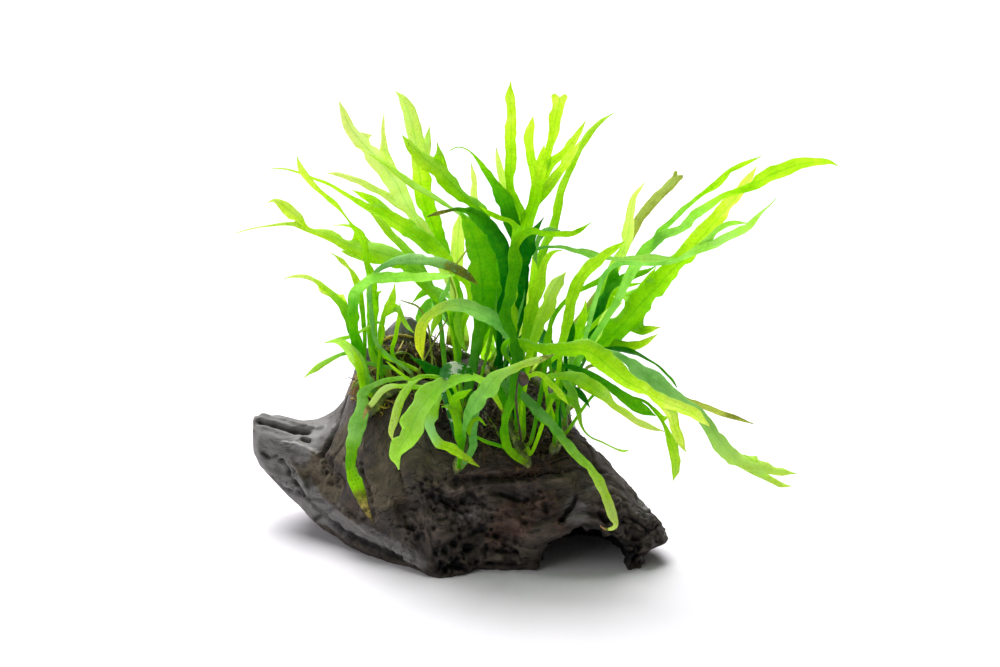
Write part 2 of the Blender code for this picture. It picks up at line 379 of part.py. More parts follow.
# How the fronds are combed apart, so that none passes through another or through the wood: each is
# moved along the line of sight, a little at a time, which leaves the picture of it as it was.
COMB_ROUNDS = 160
COMB_STEP = 0.3 * MM
COMB_SPREAD = (1.0, 0.7, 0.35)  # how much the rows beside a moved one go with it
ROOT_HOLD = (0.0, 0.3, 0.65)  # how freely the first rows, near the rhizome, may move
CLEAR = 1.1 * MM  # from the middle of a blade to the wood
BURIED = 12 * MM  # a point up to this deep in the wood is brought out of it
OUT_OF_WOOD = 3  # a row's wish to leave the wood, which outweighs its wishes to leave other blades


def sketch_point(col, row, away):
    """The point seen at this pixel of the picture, away millimetres behind the origin along Y."""
    side = (col - PICTURE_MIDDLE[0]) / FOCAL
    rise = (PICTURE_MIDDLE[1] - row) / FOCAL
    ray = FORWARD + RIGHT * side + UP * rise
    return EYE + ray * ((away * MM - EYE.y) / ray.y)


def in_picture(point):
    """The (column, row) at which a point is seen."""
    seen = point - EYE
    depth = seen.dot(FORWARD)
    col = PICTURE_MIDDLE[0] + FOCAL * seen.dot(RIGHT) / depth
    row = PICTURE_MIDDLE[1] - FOCAL * seen.dot(UP) / depth
    return col, row


def smooth_curve(points, dense=10):
    """A smooth curve through points of three or more numbers, with dense steps between each two."""
    times = [0.0]
    for a, b in zip(points, points[1:]):
        times.append(times[-1] + max(math.dist(a[:3], b[:3]), 1e-9))
    slopes = []
    for i in range(len(points)):
        before = max(i - 1, 0)
        after = min(i + 1, len(points) - 1)
        span = times[after] - times[before]
        slopes.append([(q - p) / span for p, q in zip(points[before], points[after])])
    curve = []
    for i in range(len(points) - 1):
        span = times[i + 1] - times[i]
        for step in range(dense):
            s = step / dense
            near = 2 * s**3 - 3 * s**2 + 1
            leave = (s**3 - 2 * s**2 + s) * span
            arrive = (s**3 - s**2) * span
            curve.append([
                near * a + leave * m + (1 - near) * b + arrive * n
                for a, m, b, n in zip(points[i], slopes[i], points[i + 1], slopes[i + 1])
            ])
    curve.append(list(points[-1]))
    return curve


def length_of(curve):
    return sum(math.dist(a[:3], b[:3]) for a, b in zip(curve, curve[1:]))


def evenly(curve, count):
    """count + 1 points spaced evenly along the curve."""
    step = length_of(curve) / count
    spaced = [list(curve[0])]
    walked = 0.0
    for a, b in zip(curve, curve[1:]):
        span = math.dist(a[:3], b[:3])
        while len(spaced) < count and walked + span >= step * len(spaced):
            part = (step * len(spaced) - walked) / span
            spaced.append([p + (q - p) * part for p, q in zip(a, b)])
        walked += span
    spaced.append(list(curve[-1]))
    return spaced


# ---------------------------------------------------------------- scene, materials, booleans


def clear_scene():
    for thing in list(bpy.data.objects):
        bpy.data.objects.remove(thing)


def new_collection(name, hidden=False):
    collection = bpy.data.collections.new(name)
    bpy.context.scene.collection.children.link(collection)
    collection.hide_render = hidden
    return collection


def new_object(name, mesh, collection):
    thing = bpy.data.objects.new(name, mesh)
    collection.objects.link(thing)
    return thing


def new_cutter(name, mesh, cutters):
    cutter = new_object(name, mesh, cutters)
    cutter.hide_render = True
    cutter.display_type = "WIRE"
    return cutter


def paint(thing, tone, roughness):
    material = bpy.data.materials.new(thing.name)
    material.use_nodes = True
    shader = material.node_tree.nodes["Principled BSDF"]
    shader.inputs["Base Color"].default_value = (*tone, 1)
    shader.inputs["Roughness"].default_value = roughness
    shader.inputs["Metallic"].default_value = 0.0
    thing.data.materials.clear()
    thing.data.materials.append(material)


def apply_modifiers(thing):
    graph = bpy.context.evaluated_depsgraph_get()
    mesh = bpy.data.meshes.new_from_object(thing.evaluated_get(graph))
    thing.modifiers.clear()
    thing.data = mesh


def cut(thing, cutter):
    boolean = thing.modifiers.new(cutter.name, "BOOLEAN")
    boolean.operation = "DIFFERENCE"
    boolean.solver = "EXACT"
    boolean.object = cutter
    apply_modifiers(thing)


def swollen_copy(mesh, by):
    """A copy of the mesh with every point moved out by this much."""
    copy = mesh.copy()
    normals = [vertex.normal.copy() for vertex in copy.vertices]
    for vertex, normal in zip(copy.vertices, normals):
        vertex.co += normal * by
    return copy


def ellipsoid(name, middle, radii, fine):
    bm = bmesh.new()
    bmesh.ops.create_icosphere(bm, subdivisions=fine, radius=1)
    place = Matrix.Translation(Vector(middle) * MM) @ Matrix.Diagonal((*(r * MM for r in radii), 1))
    bmesh.ops.transform(bm, matrix=place, verts=bm.verts)
    mesh = bpy.data.meshes.new(name)
    bm.to_mesh(mesh)
    bm.free()
    return mesh


def surface_of(thing):
    return BVHTree.FromObject(thing, bpy.context.evaluated_depsgraph_get())


# ---------------------------------------------------------------- driftwood


def wood_section(x):
    """The ring at x, from the sections on both sides of it, as points that go evenly round."""
    corners = []
    for side in range(len(WOOD_SECTIONS[0][1])):
        column = smooth_curve([(at, *ring[side]) for at, ring in WOOD_SECTIONS], dense=12)
        after = next(i for i, point in enumerate(column) if point[0] >= x or i == len(column) - 1)
        a, b = column[max(after - 1, 0)], column[after]
        part = 0 if a[0] == b[0] else (x - a[0]) / (b[0] - a[0])
        corners.append([p + (q - p) * part for p, q in zip(a, b)])
    dense = 10
    closed = smooth_curve([*corners[-2:], *corners, *corners[:2]], dense)
    once_round = closed[2 * dense:(len(corners) + 2) * dense + 1]
    return [Vector(point) * MM for point in evenly(once_round, WOOD_SIDES)[:-1]]


def weathered(point, middle):
    """The point moved out or in from the ring's middle by the wood's lumps and pits."""
    outward = (point - middle).normalized()
    rise = 0.0
    for height, size in WOOD_LUMPS:
        rise += height * noise.noise(Vector(p / (length * MM) for p, length in zip(point, size)))
    for mouth, radius, depth in WOOD_PITS:
        near = (point - Vector(mouth) * MM).length / (radius * MM)
        if near < 1:
            rise -= depth * (1 - near**2) ** 2
    return point + outward * rise * MM


def make_driftwood(parts, cutters):
    first = WOOD_SECTIONS[0][0]
    last = WOOD_SECTIONS[-1][0]
    bm = bmesh.new()
    rings = []
    for k in range(WOOD_RINGS + 1):
        ring = wood_section(first + (last - first) * k / WOOD_RINGS)
        middle = sum(ring, Vector()) / len(ring)
        rings.append([bm.verts.new(weathered(point, middle)) for point in ring])
    for ring, following in zip(rings, rings[1:]):
        for i in range(WOOD_SIDES):
            j = (i + 1) % WOOD_SIDES
            bm.faces.new((ring[i], ring[j], following[j], following[i]))
    bm.faces.new(rings[0])
    bm.faces.new(rings[-1])
    bmesh.ops.recalc_face_normals(bm, faces=bm.faces)
    bmesh.ops.triangulate(bm, faces=bm.faces)
    mesh = bpy.data.meshes.new("driftwood")
    bm.to_mesh(mesh)
    bm.free()
    wood = new_object("driftwood", mesh, parts)

    fewer = wood.modifiers.new("fewer faces", "DECIMATE")
    fewer.ratio = WOOD_TRIANGLES / len(mesh.polygons)
    apply_modifiers(wood)

    cut(wood, new_cutter("arch", ellipsoid("arch", ARCH_MIDDLE, ARCH_RADII, 3), cutters))
    floor = bmesh.new()
    under = Matrix.Translation((0, 0, -FLOOR_SIZE / 2))
    bmesh.ops.create_cube(floor, size=FLOOR_SIZE, matrix=under)
    floor_mesh = bpy.data.meshes.new("floor")
    floor.to_mesh(floor_mesh)
    floor.free()
    cut(wood, new_cutter("floor", floor_mesh, cutters))
    paint(wood, WOOD_TONE, 0.8)
    return wood


# ---------------------------------------------------------------- rhizomes and moss


def lie_on(surface, points, lift):
    """(point, normal) pairs: the points brought to this height over the surface, and evened out."""
    for _ in range(3):
        lain = []
        for point in points:
            place, normal, _, _ = surface.find_nearest(point)
            lain.append((place + normal * lift, normal))
        points = [place for place, _ in lain]
        for i in range(1, len(points) - 1):
            points[i] = (lain[i - 1][0] + lain[i][0] * 2 + lain[i + 1][0]) / 4
    return [(point, surface.find_nearest(point)[1]) for point in points]


def tube(name, route, radius, collection):
    """A round stem along the route, a little thicker and thinner along it, as a closed mesh object."""
    curve = bpy.data.curves.new(name, "CURVE")
    curve.dimensions = "3D"
    curve.bevel_depth = radius
    curve.bevel_resolution = 1
    curve.use_fill_caps = True
    spline = curve.splines.new("POLY")
    spline.points.add(len(route) - 1)
    for i, (point, place) in enumerate(zip(spline.points, route)):
        point.co = (*place, 1)
        swelling = 1.0 + RHIZOME_KNOBS * noise.noise(place / KNOB_LENGTH)
        point.radius = swelling * (RHIZOME_END if i in (0, len(route) - 1) else 1.0)
    source = bpy.data.objects.new(name, curve)
    collection.objects.link(source)
    graph = bpy.context.evaluated_depsgraph_get()
    mesh = bpy.data.meshes.new_from_object(source.evaluated_get(graph))
    bpy.data.objects.remove(source)
    bm = bmesh.new()
    bm.from_mesh(mesh)
    bmesh.ops.remove_doubles(bm, verts=bm.verts, dist=0.01 * MM)
    bmesh.ops.recalc_face_normals(bm, faces=bm.faces)
    bm.to_mesh(mesh)
    bm.free()
    return new_object(name, mesh, collection)


def make_rhizomes(wood_surface, wood_clearance, parts):
    """The rhizomes, each laid on the wood. Returns the objects, and each one's line of (point, normal)."""
    objects = {}
    lines = {}
    for name, route in RHIZOMES.items():
        curve = smooth_curve([Vector(point) * MM for point in route])
        spaced = [Vector(p) for p in evenly(curve, round(length_of(curve) / RHIZOME_STEP))]
        line = lie_on(wood_surface, spaced, 0.75 * RHIZOME_RADIUS)
        stem = tube(name, [point for point, _ in line], RHIZOME_RADIUS, parts)
        cut(stem, wood_clearance)
        paint(stem, RHIZOME_TONE, 0.6)
        objects[name] = stem
        lines[name] = line
    return objects, lines


def make_moss(wood_clearance, rhizomes, parts, cutters):
    mesh = ellipsoid("moss_mat", MOSS_MIDDLE, MOSS_RADII, 2)
    for vertex in mesh.vertices:
        vertex.co += vertex.normal * MOSS_TUFT_HEIGHT * noise.noise(vertex.co / MOSS_TUFT_WIDTH)
    moss = new_object("moss_mat", mesh, parts)
    cut(moss, wood_clearance)
    for name in ("rhizome_left", "rhizome_back"):
        around = swollen_copy(rhizomes[name].data, GAP)
        cut(moss, new_cutter("around_" + name, around, cutters))
    paint(moss, MOSS_TONE, 0.95)
    return moss


# ---------------------------------------------------------------- fronds


class Strip:
    """One blade, a frond's own or a lobe's: rows of (x, y, z, width, turn), in metres and radians."""

    def __init__(self, frond, rows, parent=None, root=0):
        self.frond = frond
        self.rows = rows
        self.parent = parent
        self.root = root  # the parent's row that the lobe starts at
        self.moved = [0.0] * len(rows)  # along the line of sight

    def place(self, k):
        point = Vector(self.rows[k][:3])
        shift = self.moved[k]
        if self.parent:
            shift += self.parent.moved[self.root]
        return point + (point - EYE).normalized() * shift

    def frame(self, k):
        """The blade's half width, as a vector to its edge, and its unit normal, at row k."""
        along = self.place(min(k + 1, len(self.rows) - 1)) - self.place(max(k - 1, 0))
        along.normalize()
        sight = (self.place(k) - EYE).normalized()
        level = sight.cross(along).normalized()
        depth = along.cross(level)
        width, turn = self.rows[k][3:5]
        across = level * math.cos(turn) + depth * math.sin(turn)
        return across * (width / 2), along.cross(across)

    def rim(self, k, clear=0.0):
        """Row k's two edges, or with clear its four corners, this far over and under the blade."""
        middle = self.place(k)
        half, normal = self.frame(k)
        if not clear:
            return [middle - half, middle + half]
        side = half + half.normalized() * clear / 2
        return [middle - side - normal * clear, middle + side - normal * clear,
                middle + side + normal * clear, middle - side + normal * clear]

    def hold(self, k):
        return 1.0 if self.parent or k >= len(ROOT_HOLD) else ROOT_HOLD[k]

    def move(self, k, step):
        """Moves row k along the line of sight, and the rows beside it less."""
        for beside in range(-2, 3):
            at = k + beside
            if 0 <= at < len(self.rows):
                self.moved[at] += step * COMB_SPREAD[abs(beside)] * self.hold(at)


def real_width(seen, turn):
    return seen / max(math.cos(turn), MOST_TURNED)


def blade_rows(points, turn):
    """Evenly spaced rows of a blade through (Vector, width in metres) points."""
    curve = smooth_curve([(*point, width, turn) for point, width in points])
    return evenly(curve, max(round(length_of(curve) / ROW_STEP), 3))


def seat_of(line, part, towards):
    """Where a frond starts on a rhizome, and a point a little way out from it."""
    at = part * (len(line) - 1)
    i = min(int(at), len(line) - 2)
    point = line[i][0].lerp(line[i + 1][0], at - i)
    normal = line[i][1]
    along = (line[i + 1][0] - line[i][0]).normalized()
    out = towards - point
    out -= along * out.dot(along)
    out.normalize()
    lifted = 1.2 if out.dot(normal) < 0.2 else 0.5  # a frond that would start towards the wood turns up
    out = (out + normal * lifted).normalized()
    start = point + out * (1.2 * RHIZOME_RADIUS + GAP)
    return start, start + out * STALK_LENGTH


def seen_points(seat, away, drawn):
    """Points of a drawn blade in space, from the seat's distance to the middle's and the tip's."""
    base_away = seat.y / MM
    middle_away, tip_away = away
    pixels = [in_picture(seat)] + [(col, row) for col, row, _ in drawn]
    walked = [0.0]
    for a, b in zip(pixels, pixels[1:]):
        walked.append(walked[-1] + math.dist(a, b))
    points = []
    for (col, row, width), at in zip(drawn, walked[1:]):
        f = at / walked[-1]
        depth = (base_away * (2 * f - 1) * (f - 1) + middle_away * 4 * f * (1 - f)
                 + tip_away * f * (2 * f - 1))
        points.append((sketch_point(col, row, depth), width * MM))
    return points


def lobe_strip(main, drawn, farther, turn):
    """The strip of a lobe that starts at the main blade's edge nearest to the lobe's drawn root."""
    def distance(k):
        middle = (main.place(k) + main.place(k + 1)) / 2
        return math.dist(in_picture(middle), drawn[0][:2])

    root = min(range(1, len(main.rows) - 2), key=distance)
    start = (main.place(root) + main.place(root + 1)) / 2
    points = [(start, real_width(drawn[0][2] * MM, turn))]
    for i, (col, row, width) in enumerate(drawn[1:], 1):
        away = start.y / MM + farther * i / (len(drawn) - 1)
        points.append((sketch_point(col, row, away), real_width(width * MM, turn)))
    rows = blade_rows(points, turn)
    clear_of = main.frame(root)[0].length + LOBE_NECK
    outside = [row for row in rows if (Vector(row[:3]) - start).length > clear_of]
    return Strip(main.frond, outside, parent=main, root=root)


def make_strips(lines):
    """Every frond's strips, its main blade first, as {name: [strips]}, and {name: tone}."""
    strips = {}
    tones = {}
    for name, rhizome, part, away, turn, tone, drawn, lobes in FRONDS:
        turn = math.radians(turn)
        seat, out = seat_of(lines[rhizome], part, sketch_point(*drawn[0][:2], away[0]))
        stalk_width = max(drawn[0][2] * STALK_SHARE, THINNEST_STALK) * MM
        points = [(seat, stalk_width), (out, stalk_width)]
        points += [(point, real_width(width, turn)) for point, width in seen_points(seat, away, drawn)]
        main = Strip(name, blade_rows(points, turn))
        lobe_strips = [lobe_strip(main, lobe, farther, turn) for farther, lobe in lobes]
        strips[name] = [main, *lobe_strips]
        tones[name] = tone
    for name, rhizome, part, turn, tone, blade in BACK_FRONDS:
        seat, out = seat_of(lines[rhizome], part, Vector(blade[0][:3]) * MM)
        points = [(seat, REAR_STALK), (out, REAR_STALK)]
        points += [(Vector((x, y, z)) * MM, width * MM) for x, y, z, width in blade]
        strips[name] = [Strip(name, blade_rows(points, math.radians(turn)))]
        tones[name] = tone
    return strips, tones


def strip_surface(strip):
    """The strip as a box along each stretch, thick enough to keep blades apart, and its bounds."""
    clear = (BLADE + GAP) / 2 + SPARE
    points = []
    faces = []
    for k in range(len(strip.rows)):
        points += strip.rim(k, clear)
        if k:
            a, b = 4 * (k - 1), 4 * k
            faces += [(a + i, a + (i + 1) % 4, b + (i + 1) % 4, b + i) for i in range(4)]
    low = Vector(min(p[i] for p in points) for i in range(3))
    high = Vector(max(p[i] for p in points) for i in range(3))
    return BVHTree.FromPolygons(points, faces), low, high


def apart(a, b):
    return any(a[1][i] > b[2][i] or b[1][i] > a[2][i] for i in range(3))


def comb(strips, obstacles):
    """Moves the strips along the line of sight until none passes through another or an obstacle."""
    every = [strip for blades in strips.values() for strip in blades]
    front_first = {}
    for _ in range(COMB_ROUNDS):
        surfaces = [strip_surface(strip) for strip in every]
        steps = [{} for _ in every]
        for i, one in enumerate(every):
            for j in range(i + 1, len(every)):
                other = every[j]
                if one.frond == other.frond or apart(surfaces[i], surfaces[j]):
                    continue
                pairs = surfaces[i][0].overlap(surfaces[j][0])
                if not pairs:
                    continue
                mine = {face // 4 for face, _ in pairs}
                theirs = {face // 4 for _, face in pairs}
                if (i, j) not in front_first:
                    my_depth = sum((one.place(k) - EYE).length for k in mine) / len(mine)
                    their_depth = sum((other.place(k) - EYE).length for k in theirs) / len(theirs)
                    front_first[i, j] = 1 if my_depth < their_depth else -1
                side = front_first[i, j]
                for k in mine:
                    steps[i][k] = steps[i].get(k, 0) - side
                for k in theirs:
                    steps[j][k] = steps[j].get(k, 0) + side
        for i, strip in enumerate(every):
            first = 0 if strip.parent else 2
            for k in range(first, len(strip.rows)):
                sight = (strip.place(k) - EYE).normalized()
                for surface in obstacles:
                    for point in (strip.place(k), *strip.rim(k)):
                        place, normal, _, gap = surface.find_nearest(point)
                        if gap < CLEAR or (gap < BURIED and (point - place).dot(normal) < 0):
                            steps[i][k] = OUT_OF_WOOD if normal.dot(sight) > 0 else -OUT_OF_WOOD
        if not any(steps):
            break
        for strip, wanted in zip(every, steps):
            for k, want in wanted.items():
                speed = 2 if abs(want) == OUT_OF_WOOD else 1
                strip.move(k, COMB_STEP * speed * max(-1, min(1, want)))


def extrude_row(bm, row, places):
    """Extrudes a row of points to these places, and returns the new row."""
    edges = [bm.edges.get(pair) for pair in zip(row, row[1:])]
    made = bmesh.ops.extrude_edge_only(bm, edges=edges)["geom"]
    new = [piece for piece in made if isinstance(piece, bmesh.types.BMVert)]
    following = [min(new, key=lambda vert: (vert.co - old.co).length) for old in row]
    for vert, place in zip(following, places):
        vert.co = place
    return following


def row_places(strip, k, broad):
    left, right = strip.rim(k)
    if not broad:
        return [left, right]
    half, normal = strip.frame(k)
    towards_eye = -1 if normal.dot(strip.place(k) - EYE) > 0 else 1
    return [left, strip.place(k) + normal * (towards_eye * CAMBER * half.length * 2), right]


def make_frond(name, blades, tone, parts):
    """One frond: its blade extruded row by row, its lobes extruded from its edges, then thickened."""
    main = blades[0]
    broad = max(row[3] for row in main.rows) > BROAD
    bm = bmesh.new()
    row = [bm.verts.new(place) for place in row_places(main, 0, broad)]
    for a, b in zip(row, row[1:]):
        bm.edges.new((a, b))
    rows = [row]
    for k in range(1, len(main.rows)):
        rows.append(extrude_row(bm, rows[-1], row_places(main, k, broad)))
    for lobe in blades[1:]:
        half = main.frame(lobe.root)[0]
        outward = lobe.place(0) - main.place(lobe.root)
        side = -1 if outward.dot(half) > 0 else 0
        root = [rows[lobe.root][side], rows[lobe.root + 1][side]]
        for k in range(len(lobe.rows)):
            places = lobe.rim(k)
            if (root[1].co - root[0].co).dot(places[1] - places[0]) < 0:
                places.reverse()
            root = extrude_row(bm, root, places)
    bmesh.ops.recalc_face_normals(bm, faces=bm.faces)
    mesh = bpy.data.meshes.new(name)
    bm.to_mesh(mesh)
    bm.free()
    mesh.shade_smooth()
    frond = new_object(name, mesh, parts)
    thick = frond.modifiers.new("thickness", "SOLIDIFY")
    thick.thickness = BLADE
    thick.offset = 0
    paint(frond, FROND_TONES[tone], 0.4)
    return frond


# ---------------------------------------------------------------- assembly


def main():
    clear_scene()
    parts = new_collection("java fern on driftwood")
    cutters = new_collection("cutters", hidden=True)

    wood = make_driftwood(parts, cutters)
    wood_clearance = new_cutter("wood_clearance", swollen_copy(wood.data, GAP), cutters)
    wood_surface = surface_of(wood)
    rhizomes, lines = make_rhizomes(wood_surface, wood_clearance, parts)
    moss = make_moss(wood_clearance, rhizomes, parts, cutters)

    strips, tones = make_strips(lines)
    obstacles = [wood_surface, surface_of(moss), *(surface_of(stem) for stem in rhizomes.values())]
    comb(strips, obstacles)
    for name, blades in strips.items():
        make_frond(name, blades, tones[name], parts)


main()
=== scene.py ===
"""A java fern on its lump of driftwood, dressed.

The camera comes first, because the leaves are drawn as it sees them. Then come the wood, the creeping
stems, the leaves, the moss and the roots, and the studio.
"""

import math
import random

import bpy
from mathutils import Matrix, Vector, kdtree, noise
from mathutils.bvhtree import BVHTree


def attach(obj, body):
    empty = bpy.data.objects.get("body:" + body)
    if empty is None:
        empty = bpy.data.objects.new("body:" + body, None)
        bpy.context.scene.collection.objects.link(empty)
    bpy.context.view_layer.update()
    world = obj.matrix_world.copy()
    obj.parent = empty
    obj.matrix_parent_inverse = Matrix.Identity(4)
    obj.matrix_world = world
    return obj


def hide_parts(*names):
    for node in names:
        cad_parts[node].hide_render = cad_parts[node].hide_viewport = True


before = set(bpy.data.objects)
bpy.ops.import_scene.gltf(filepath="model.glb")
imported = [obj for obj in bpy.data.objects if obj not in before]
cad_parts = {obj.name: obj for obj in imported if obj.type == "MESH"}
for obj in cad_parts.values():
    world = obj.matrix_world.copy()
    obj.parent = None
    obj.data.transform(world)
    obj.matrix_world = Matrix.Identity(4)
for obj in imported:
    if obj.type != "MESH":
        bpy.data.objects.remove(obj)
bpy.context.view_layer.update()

# ---------------------------------------------------------------- camera
# An 85 mm lens, 0.94 m in front of the fern and looking down on it by 18 degrees, gives a picture of
# 1000 x 667 pixels. Places on the plant are given as they are seen there, and how far back they are.
MM = 0.001
PICTURE_MIDDLE = (500.0, 333.5)
PICTURE_WIDTH = 1000
LENS = 85
SENSOR = 36
FOCAL = PICTURE_WIDTH * LENS / SENSOR
TILT = math.radians(18)
EYE = Vector((0.016, -0.8978, 0.3811))
RIGHT = Vector((1, 0, 0))
FORWARD = Vector((0, math.cos(TILT), -math.sin(TILT)))
UP = Vector((0, math.sin(TILT), math.cos(TILT)))

camera_data = bpy.data.cameras.new("camera")
camera_data.lens = LENS
camera_data.sensor_width = SENSOR
camera = bpy.data.objects.new("camera", camera_data)
camera.location = EYE
camera.rotation_euler = (math.pi / 2 - TILT, 0, 0)
bpy.context.scene.collection.objects.link(camera)
bpy.context.scene.camera = camera


def sight_line(col, row):
    """The direction from the eye through this pixel of the picture."""
    side = (col - PICTURE_MIDDLE[0]) / FOCAL
    rise = (PICTURE_MIDDLE[1] - row) / FOCAL
    return (FORWARD + RIGHT * side + UP * rise).normalized()


def sketch_point(col, row, away):
    """The point seen at this pixel, away millimetres behind the origin along Y."""
    ray = sight_line(col, row)
    return EYE + ray * ((away * MM - EYE.y) / ray.y)


def in_picture(point):
    """The (column, row) at which a point is seen."""
    seen = point - EYE
    depth = seen.dot(FORWARD)
    col = PICTURE_MIDDLE[0] + FOCAL * seen.dot(RIGHT) / depth
    row = PICTURE_MIDDLE[1] - FOCAL * seen.dot(UP) / depth
    return col, row


# ---------------------------------------------------------------- driftwood
# One lump of old wood, dark and worn by water. The grain runs along the horn at the left, turns down
# the belly and runs out along the right end, which is crumbling. It is a fine copy of the node, carved.
WOOD_VOXEL = 0.74 * MM
FLAT = 1.6 * MM  # up to this height over the floor the carving fades out
MARK_STEP = 0.5 * MM  # from one press of a groove or crack to the next
PIT_RADIUS = (0.9, 2.3)
PIT_DEPTH = (0.7, 2.4)
# The grain: where along X each run of it is purest, and which way it runs there.
GRAIN = [
    (-78, (1.0, -0.42, -0.38)), (-48, (0.86, -0.40, -0.46)), (-14, (0.42, -0.34, -0.84)),
    (22, (0.74, -0.22, -0.62)), (62, (0.90, -0.12, -0.42)),
]
# Grooves and cracks as (pixels along it, width, depth), in millimetres. A negative depth is a ridge.
WOOD_MARKS = [
    ([(259, 421), (272, 424), (290, 430), (308, 433)], 3.4, 2.2),
    ([(262, 415), (280, 418), (300, 424), (322, 428)], 3.0, -1.0),
    ([(303, 439), (309, 441)], 3.2, 3.0),
    ([(262, 452), (268, 458), (276, 455)], 2.4, 1.6),
    ([(281, 462), (288, 474), (296, 486), (302, 496)], 3.6, 3.0),
    ([(290, 458), (298, 472), (304, 486), (312, 500)], 2.6, -1.0),
    ([(272, 478), (284, 490), (298, 506), (314, 520)], 2.6, 1.8),
    ([(352, 424), (345, 440), (334, 456), (322, 470)], 2.2, 1.4),
    ([(306, 498), (330, 520), (352, 536), (372, 548)], 2.4, 1.6),
    ([(380, 548), (400, 557), (420, 565), (434, 570)], 2.4, -1.5),
    ([(376, 552), (398, 562), (420, 570)], 2.6, 2.4),
    ([(362, 470), (368, 486), (372, 502)], 2.0, 1.5),
    ([(398, 470), (404, 490), (412, 508)], 1.8, 1.3),
    ([(405, 515), (408, 530), (413, 546)], 1.8, 1.3),
    ([(428, 520), (430, 540), (436, 556)], 1.8, 1.2),
    ([(407, 526), (412, 530)], 3.0, 2.6),
    ([(450, 489), (480, 486), (515, 484), (560, 480), (606, 478)], 3.6, -1.7),
    ([(455, 480), (485, 477), (520, 475), (560, 471)], 4.4, 2.6),
    ([(440, 498), (452, 505), (462, 512), (470, 522)], 3.2, 2.2),
    ([(466, 492), (474, 500), (486, 506)], 3.0, 2.0),
    ([(500, 494), (520, 500), (545, 497)], 2.2, 1.4),
    ([(505, 512), (530, 508), (552, 504)], 2.0, 1.2),
    ([(577, 497), (570, 508), (562, 520)], 3.0, 2.6),
    ([(536, 530), (560, 521), (585, 517), (604, 523)], 3.4, -1.8),
    ([(465, 541), (490, 540), (520, 544)], 2.6, -1.4),
    ([(468, 548), (490, 549), (516, 552)], 3.4, 3.0),
    ([(462, 556), (490, 557), (526, 560)], 2.4, -1.5),
    ([(470, 564), (495, 565), (524, 566)], 2.6, 2.4),
    ([(446, 570), (455, 564), (465, 568)], 3.6, 3.2),
    ([(608, 520), (628, 532), (640, 548)], 3.0, 2.2),
    ([(618, 498), (630, 512), (648, 530)], 3.0, 2.2),
    ([(628, 488), (642, 504), (656, 524)], 2.6, -1.4),
    ([(596, 484), (606, 498), (612, 512)], 2.8, 2.2),
    ([(640, 500), (652, 520), (662, 545)], 2.4, 1.8),
    ([(612, 540), (630, 550), (640, 560)], 2.6, 2.0),
    ([(566, 470), (590, 468), (612, 474)], 2.8, 1.8),
    ([(640, 562), (646, 556)], 3.0, 2.6),
    ([(654, 556), (657, 548)], 2.6, 2.4),
    ([(330, 500), (345, 511), (358, 523), (372, 534), (390, 546), (412, 557), (432, 566)], 3.0, -1.8),
    ([(332, 524), (352, 538), (376, 550), (400, 560)], 6.0, 3.2),
    ([(586, 527), (597, 532), (608, 531)], 5.0, -2.4),
    ([(560, 523), (574, 518), (590, 520)], 4.0, -1.6),
    ([(600, 512), (606, 522), (612, 530)], 3.4, 2.2),
    ([(664, 520), (656, 528), (646, 530)], 3.0, 2.0),
    ([(347, 398), (342, 412), (336, 428), (328, 444), (322, 456)], 4.0, 2.6),
    ([(283, 443), (298, 446), (312, 452), (322, 458)], 3.4, -1.6),
]
# Patches of rotted, pitted wood as (pixel at the middle, reach in millimetres, number of pits).
ROTTEN = [((430, 496), 9, 34), ((452, 506), 11, 44), ((480, 512), 11, 40), ((328, 472), 6, 20),
          ((340, 480), 5, 16), ((352, 460), 5, 8), ((640, 535), 14, 60), ((612, 505), 10, 26),
          ((500, 552), 11, 34), ((452, 562), 8, 20), ((535, 500), 9, 14), ((292, 480), 6, 8),
          ((365, 508), 6, 8), ((410, 528), 7, 8)]
# Pits and cracks of the back and the ends, which the picture doesn't show, as (x, y, z, reach, pits).
ROTTEN_BEHIND = [(40, 44, 30, 18, 40), (-10, 48, 26, 20, 30), (-52, 48, 28, 16, 24), (72, 4, 12, 14, 40),
                 (10, 44, 52, 14, 18)]
# Where the wood has turned ash grey, earthy or reddish, as (pixel, reach in millimetres, how much).
ASHEN = [((290, 424), 17, 1.0), ((318, 432), 13, 0.9), ((272, 440), 12, 0.9), ((300, 449), 8, 1.0),
         ((575, 512), 9, 0.35), ((640, 508), 13, 0.3), ((468, 512), 9, 0.25), ((404, 324), 12, 0.8)]
# A grey band runs along the lower edge of the horn, given at its bends in the same way.
ASH_BAND = [((278, 478), 11, 0.9), ((304, 500), 10, 0.85), ((340, 523), 8, 0.75), ((384, 546), 7, 0.55),
            ((428, 566), 6, 0.35)]
EARTHY = [((348, 440), 14, 1.0), ((303, 464), 9, 1.0), ((318, 474), 11, 0.9), ((333, 490), 9, 0.8),
          ((385, 485), 14, 0.8), ((400, 450), 14, 0.8),
          ((430, 470), 12, 0.6), ((560, 470), 12, 0.4)]
REDDISH = [((515, 518), 11, 0.9), ((545, 505), 9, 0.7), ((495, 535), 8, 0.5), ((352, 505), 6, 0.3),
           ((560, 522), 6, 0.4)]
